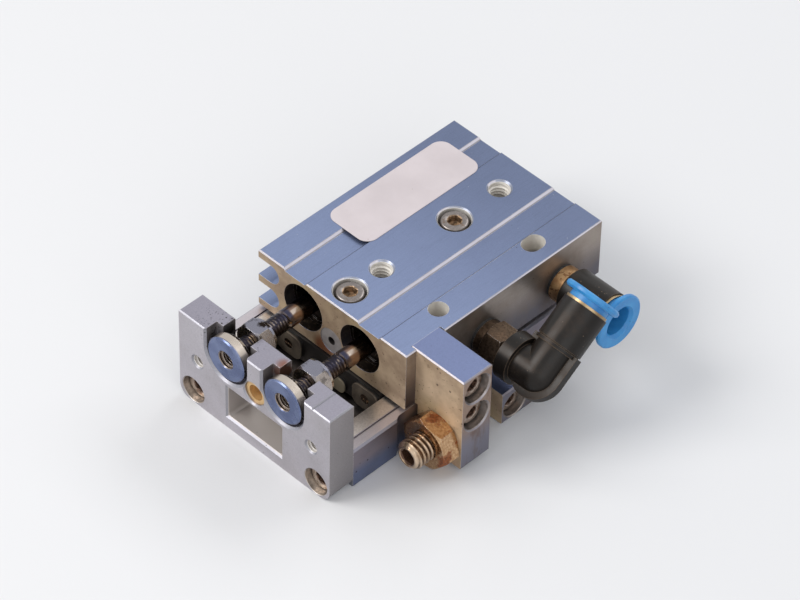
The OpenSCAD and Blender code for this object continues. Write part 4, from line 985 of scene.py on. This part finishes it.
def make_rods():
    """Piston rods with a used M4 thread from the button to the neck groove; the stub in the button
    starts behind the button's own hole."""
    start = YOKE_LOW.y + 2.6 * MM
    hub = BUTTON_HIGH.y - start
    thread_end = ROD_THREAD_END - start
    neck_end = thread_end + 0.5 * MM
    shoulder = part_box("pistons")[0].y - start
    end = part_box("rod_right")[1].y - start
    rod_r = 2 * MM
    neck_r = 1.6 * MM
    seat_r = 1.55 * MM
    pitch = 0.7 * MM
    cut = thread(1.9 * MM, 1.955 * MM, pitch)
    rings = [(0, 1.3 * MM), (0.2 * MM, 1.5 * MM), (hub, 1.8 * MM)]
    rings += [(along, cut) for along in steps(hub, thread_end, pitch / 10)]
    rings += [(thread_end, neck_r), (neck_end, neck_r), (neck_end + 0.3 * MM, rod_r),
              (shoulder, rod_r), (shoulder, seat_r), (end, seat_r)]
    for side, node in ((-1, "rod_left"), (1, "rod_right")):
        mesh = bmesh.new()
        add_rings(mesh, placed((side * ROD.x, start, ROD.z), REAR), rings)
        finish_piece(node + "_threaded", mesh, node)


def make_stop_screw():
    """Full-thread M6 stop screw with chamfered ends and a hexagon socket in its front."""
    low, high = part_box("stop_screw")
    centre = (low + high) / 2
    length = high.y - low.y
    pitch = 1 * MM
    spacing = pitch / 12
    cut = thread(2.55 * MM, 3 * MM, pitch)
    bevel = 0.8 * MM
    end_r = 2.25 * MM
    slope = 0.95

    def tapered(along, angle):
        return min(cut(along, angle), end_r + min(along, length - along) * slope)

    socket = hexagon(3 * MM)
    rings = [(2.9 * MM, 0.4 * MM), (2.4 * MM, socket), (0.35 * MM, socket), (0, 1.95 * MM)]
    places = steps(0, bevel, spacing) + steps(bevel, length, spacing)[1:]
    rings += [(along, tapered) for along in places]
    mesh = bmesh.new()
    add_rings(mesh, placed((centre.x, low.y, centre.z), REAR), rings, sides=60)
    finish_piece("stop_screw_threaded", mesh, "stop_screw")


def add_ridge(mesh, place, wall, tip, pitch, length, sides=36):
    """Thread ridge inside a round hole, wound round local +Z from 0 to length. It grows out of the
    wall over half a turn at each end."""
    half_root = 0.34 * pitch
    half_tip = 0.06 * pitch
    least = 0.04
    count = int(length / pitch * sides)
    sections = []
    for i in range(count + 1):
        angle = 2 * math.pi * i / sides
        along = pitch * i / sides
        grown = max(least, min(1, i / (sides / 2), (count - i) / (sides / 2)))
        inner = wall + (tip - wall) * grown
        corners = ((wall, -half_root), (inner, -half_tip), (inner, half_tip), (wall, half_root))
        sections.append([mesh.verts.new(on_ring(place, radius, angle, along + shift))
                         for radius, shift in corners])
    close_shell(mesh, sections)


def make_inner_thread(name, node, direction, holes, wall, tip, pitch):
    """Visible turns of the threads in a node's holes, as one piece; a hole is (start, length)."""
    mesh = bmesh.new()
    for start, length in holes:
        add_ridge(mesh, placed(start, direction), wall, tip, pitch, length)
    finish_piece(name, mesh, node, replaces=False)


def make_inner_threads():
    """Threads in the mounting, yoke, button and payload holes."""
    mounts = [((0, y, TOP - 0.7 * MM), depth) for y, depth in zip(MOUNT_YS, MOUNT_THREADS)]
    make_inner_thread("mount_threads", "housing", DOWN, mounts, 2.12 * MM, 1.8 * MM, 0.8 * MM)

    yoke = [((side * YOKE_HOLE_X, YOKE_LOW.y + 0.55 * MM, YOKE_HOLE_Z), 5.1 * MM)
            for side in (-1, 1)]
    make_inner_thread("yoke_threads", "yoke", REAR, yoke, 1.27 * MM, 1.02 * MM, 0.5 * MM)

    buttons = [((side * ROD.x, BUTTON_LOW.y + 0.4 * MM, ROD.z), 2.2 * MM) for side in (-1, 1)]
    make_inner_thread("button_threads", "rod_buttons", REAR, buttons, 1.87 * MM, 1.5 * MM, 0.5 * MM)

    payload = [((x, y, 0.6 * MM), 2.3 * MM) for x in PAYLOAD_XS for y in PAYLOAD_YS]
    make_inner_thread("payload_threads", "table", UP, payload, 1.67 * MM, 1.4 * MM, 0.7 * MM)


def make_label():
    """Blank paper label: rounded corners, thin turned-down rim and faint waves."""
    low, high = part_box("label")
    centre = (low + high) / 2
    half_w = (high.x - low.x) / 2
    half_l = (high.y - low.y) / 2
    thick = (high.z - low.z) * 0.9
    corner = 2.5 * MM
    rim = 0.2 * MM
    wave = 0.012 * MM
    # Millimetres in from the outline, and share of the thickness
    profile = ((0, 0), (0, 0.6), (0.05, 0.93), (0.25, 1), (1.2, 1), (2.6, 1), (4, 1), (5.2, 1))
    mesh = bmesh.new()
    loops = []
    for inset_mm, lift in profile:
        inset = inset_mm * MM
        reach = max(corner - inset, 0.05 * MM)
        loop = []
        for i in range(LABEL_SIDES):
            angle = 2 * math.pi * (i + 0.5) / LABEL_SIDES
            x = math.copysign(half_w - inset - reach, math.cos(angle)) + reach * math.cos(angle)
            y = math.copysign(half_l - inset - reach, math.sin(angle)) + reach * math.sin(angle)
            height = low.z + thick * lift
            if inset > rim:
                height += wave * math.sin(x / (2.3 * MM)) * math.sin(y / (4.1 * MM))
            loop.append(mesh.verts.new((centre.x + x, centre.y + y, height)))
        loops.append(loop)
    close_shell(mesh, loops)
    finish_piece("label_sheet", mesh, "label", sharp=50)


make_cap_screws("guide_screws", UP, spread=Y)
make_cap_screws("stop_block_screws", SIDE, spread=Z)
make_cap_screws("yoke_screws", FRONT, spread=X)
make_cap_screws("rear_stop_screw", SIDE)
make_rods()
make_stop_screw()
make_inner_threads()
make_label()


# ------------------------ stage, camera and light

def make_floor():
    """Plain pale floor just under the object."""
    mat = bpy.data.materials.new("floor_pale")
    mat.use_nodes = True
    bsdf = mat.node_tree.nodes["Principled BSDF"]
    bsdf.inputs["Base Color"].default_value = (0.80, 0.80, 0.81, 1)
    bsdf.inputs["Roughness"].default_value = 0.9
    bsdf.inputs["Specular IOR Level"].default_value = 0.1
    bpy.ops.mesh.primitive_plane_add(size=3, location=(0, 0, -0.02 * MM))
    floor = bpy.context.object
    floor.name = "floor"
    floor.data.materials.append(mat)


def area_light(name, place, target, size, power, color):
    """Rectangular lamp at a place, turned to a target."""
    data = bpy.data.lights.new(name, "AREA")
    data.shape = "RECTANGLE"
    data.size, data.size_y = size
    data.energy = power
    data.color = color
    lamp = bpy.data.objects.new(name, data)
    lamp.location = place
    lamp.rotation_euler = (Vector(target) - Vector(place)).to_track_quat("-Z", "Y").to_euler()
    bpy.context.scene.collection.objects.link(lamp)


def make_lights():
    """Warm key from the front left, soft fill from the right, wide light from behind."""
    centre = (0.0, 0.015, 0.012)
    area_light("key", (-0.35, -0.45, 0.55), centre, (0.45, 0.35), 3.6, (1.0, 0.985, 0.96))
    area_light("fill", (0.55, -0.25, 0.40), centre, (0.5, 0.5), 1.0, (0.97, 0.98, 1.0))
    area_light("back", (0.05, 0.60, 0.55), centre, (0.7, 0.3), 2.0, (0.97, 0.98, 1.0))


def make_world():
    """Soft light all round, which the camera, gloss and glass see as nearly white."""
    world = bpy.data.worlds.new("studio")
    world.use_nodes = True
    bpy.context.scene.world = world
    tree = world.node_tree
    lit = tree.nodes["Background"]
    lit.inputs["Color"].default_value = (0.95, 0.97, 1.0, 1)
    lit.inputs["Strength"].default_value = 0.5
    shown = tree.nodes.new("ShaderNodeBackground")
    shown.inputs["Color"].default_value = (1, 1, 1, 1)
    shown.inputs["Strength"].default_value = 0.95
    path = tree.nodes.new("ShaderNodeLightPath")
    seen = path.outputs["Is Camera Ray"]
    for ray in ("Is Glossy Ray", "Is Transmission Ray"):
        either = tree.nodes.new("ShaderNodeMath")
        either.operation = "MAXIMUM"
        tree.links.new(seen, either.inputs[0])
        tree.links.new(path.outputs[ray], either.inputs[1])
        seen = either.outputs[0]
    mix = tree.nodes.new("ShaderNodeMixShader")
    tree.links.new(seen, mix.inputs[0])
    tree.links.new(lit.outputs[0], mix.inputs[1])
    tree.links.new(shown.outputs[0], mix.inputs[2])
    tree.links.new(mix.outputs[0], tree.nodes["World Output"].inputs[0])


def make_camera():
    """Long lens from the front right, 45 degrees up, with a slight roll. Its angles, distance and
    lens were solved from the photograph together with the sizes."""
    azimuth, elevation, roll = math.radians(44.09), math.radians(44.65), math.radians(1.4)
    distance = 0.82481
    target = Vector((2.6 * MM, 15.4 * MM, 16 * MM))
    flat = math.cos(elevation)
    back = Vector((math.sin(azimuth) * flat, -math.cos(azimuth) * flat, math.sin(elevation)))
    right = (-back).cross(Vector(UP)).normalized()
    up = right.cross(-back)
    turned_right = math.cos(roll) * right + math.sin(roll) * up
    turned_up = math.cos(roll) * up - math.sin(roll) * right
    data = bpy.data.cameras.new("camera")
    data.sensor_width = 36
    data.lens = 198.66
    data.clip_end = 20
    camera = bpy.data.objects.new("camera", data)
    turn = Matrix((turned_right, turned_up, back)).transposed().to_4x4()
    camera.matrix_world = Matrix.Translation(target + back * distance) @ turn
    bpy.context.scene.collection.objects.link(camera)
    bpy.context.scene.camera = camera


make_floor()
make_lights()
make_world()
make_camera()
bpy.context.scene.view_settings.view_transform = "Standard"
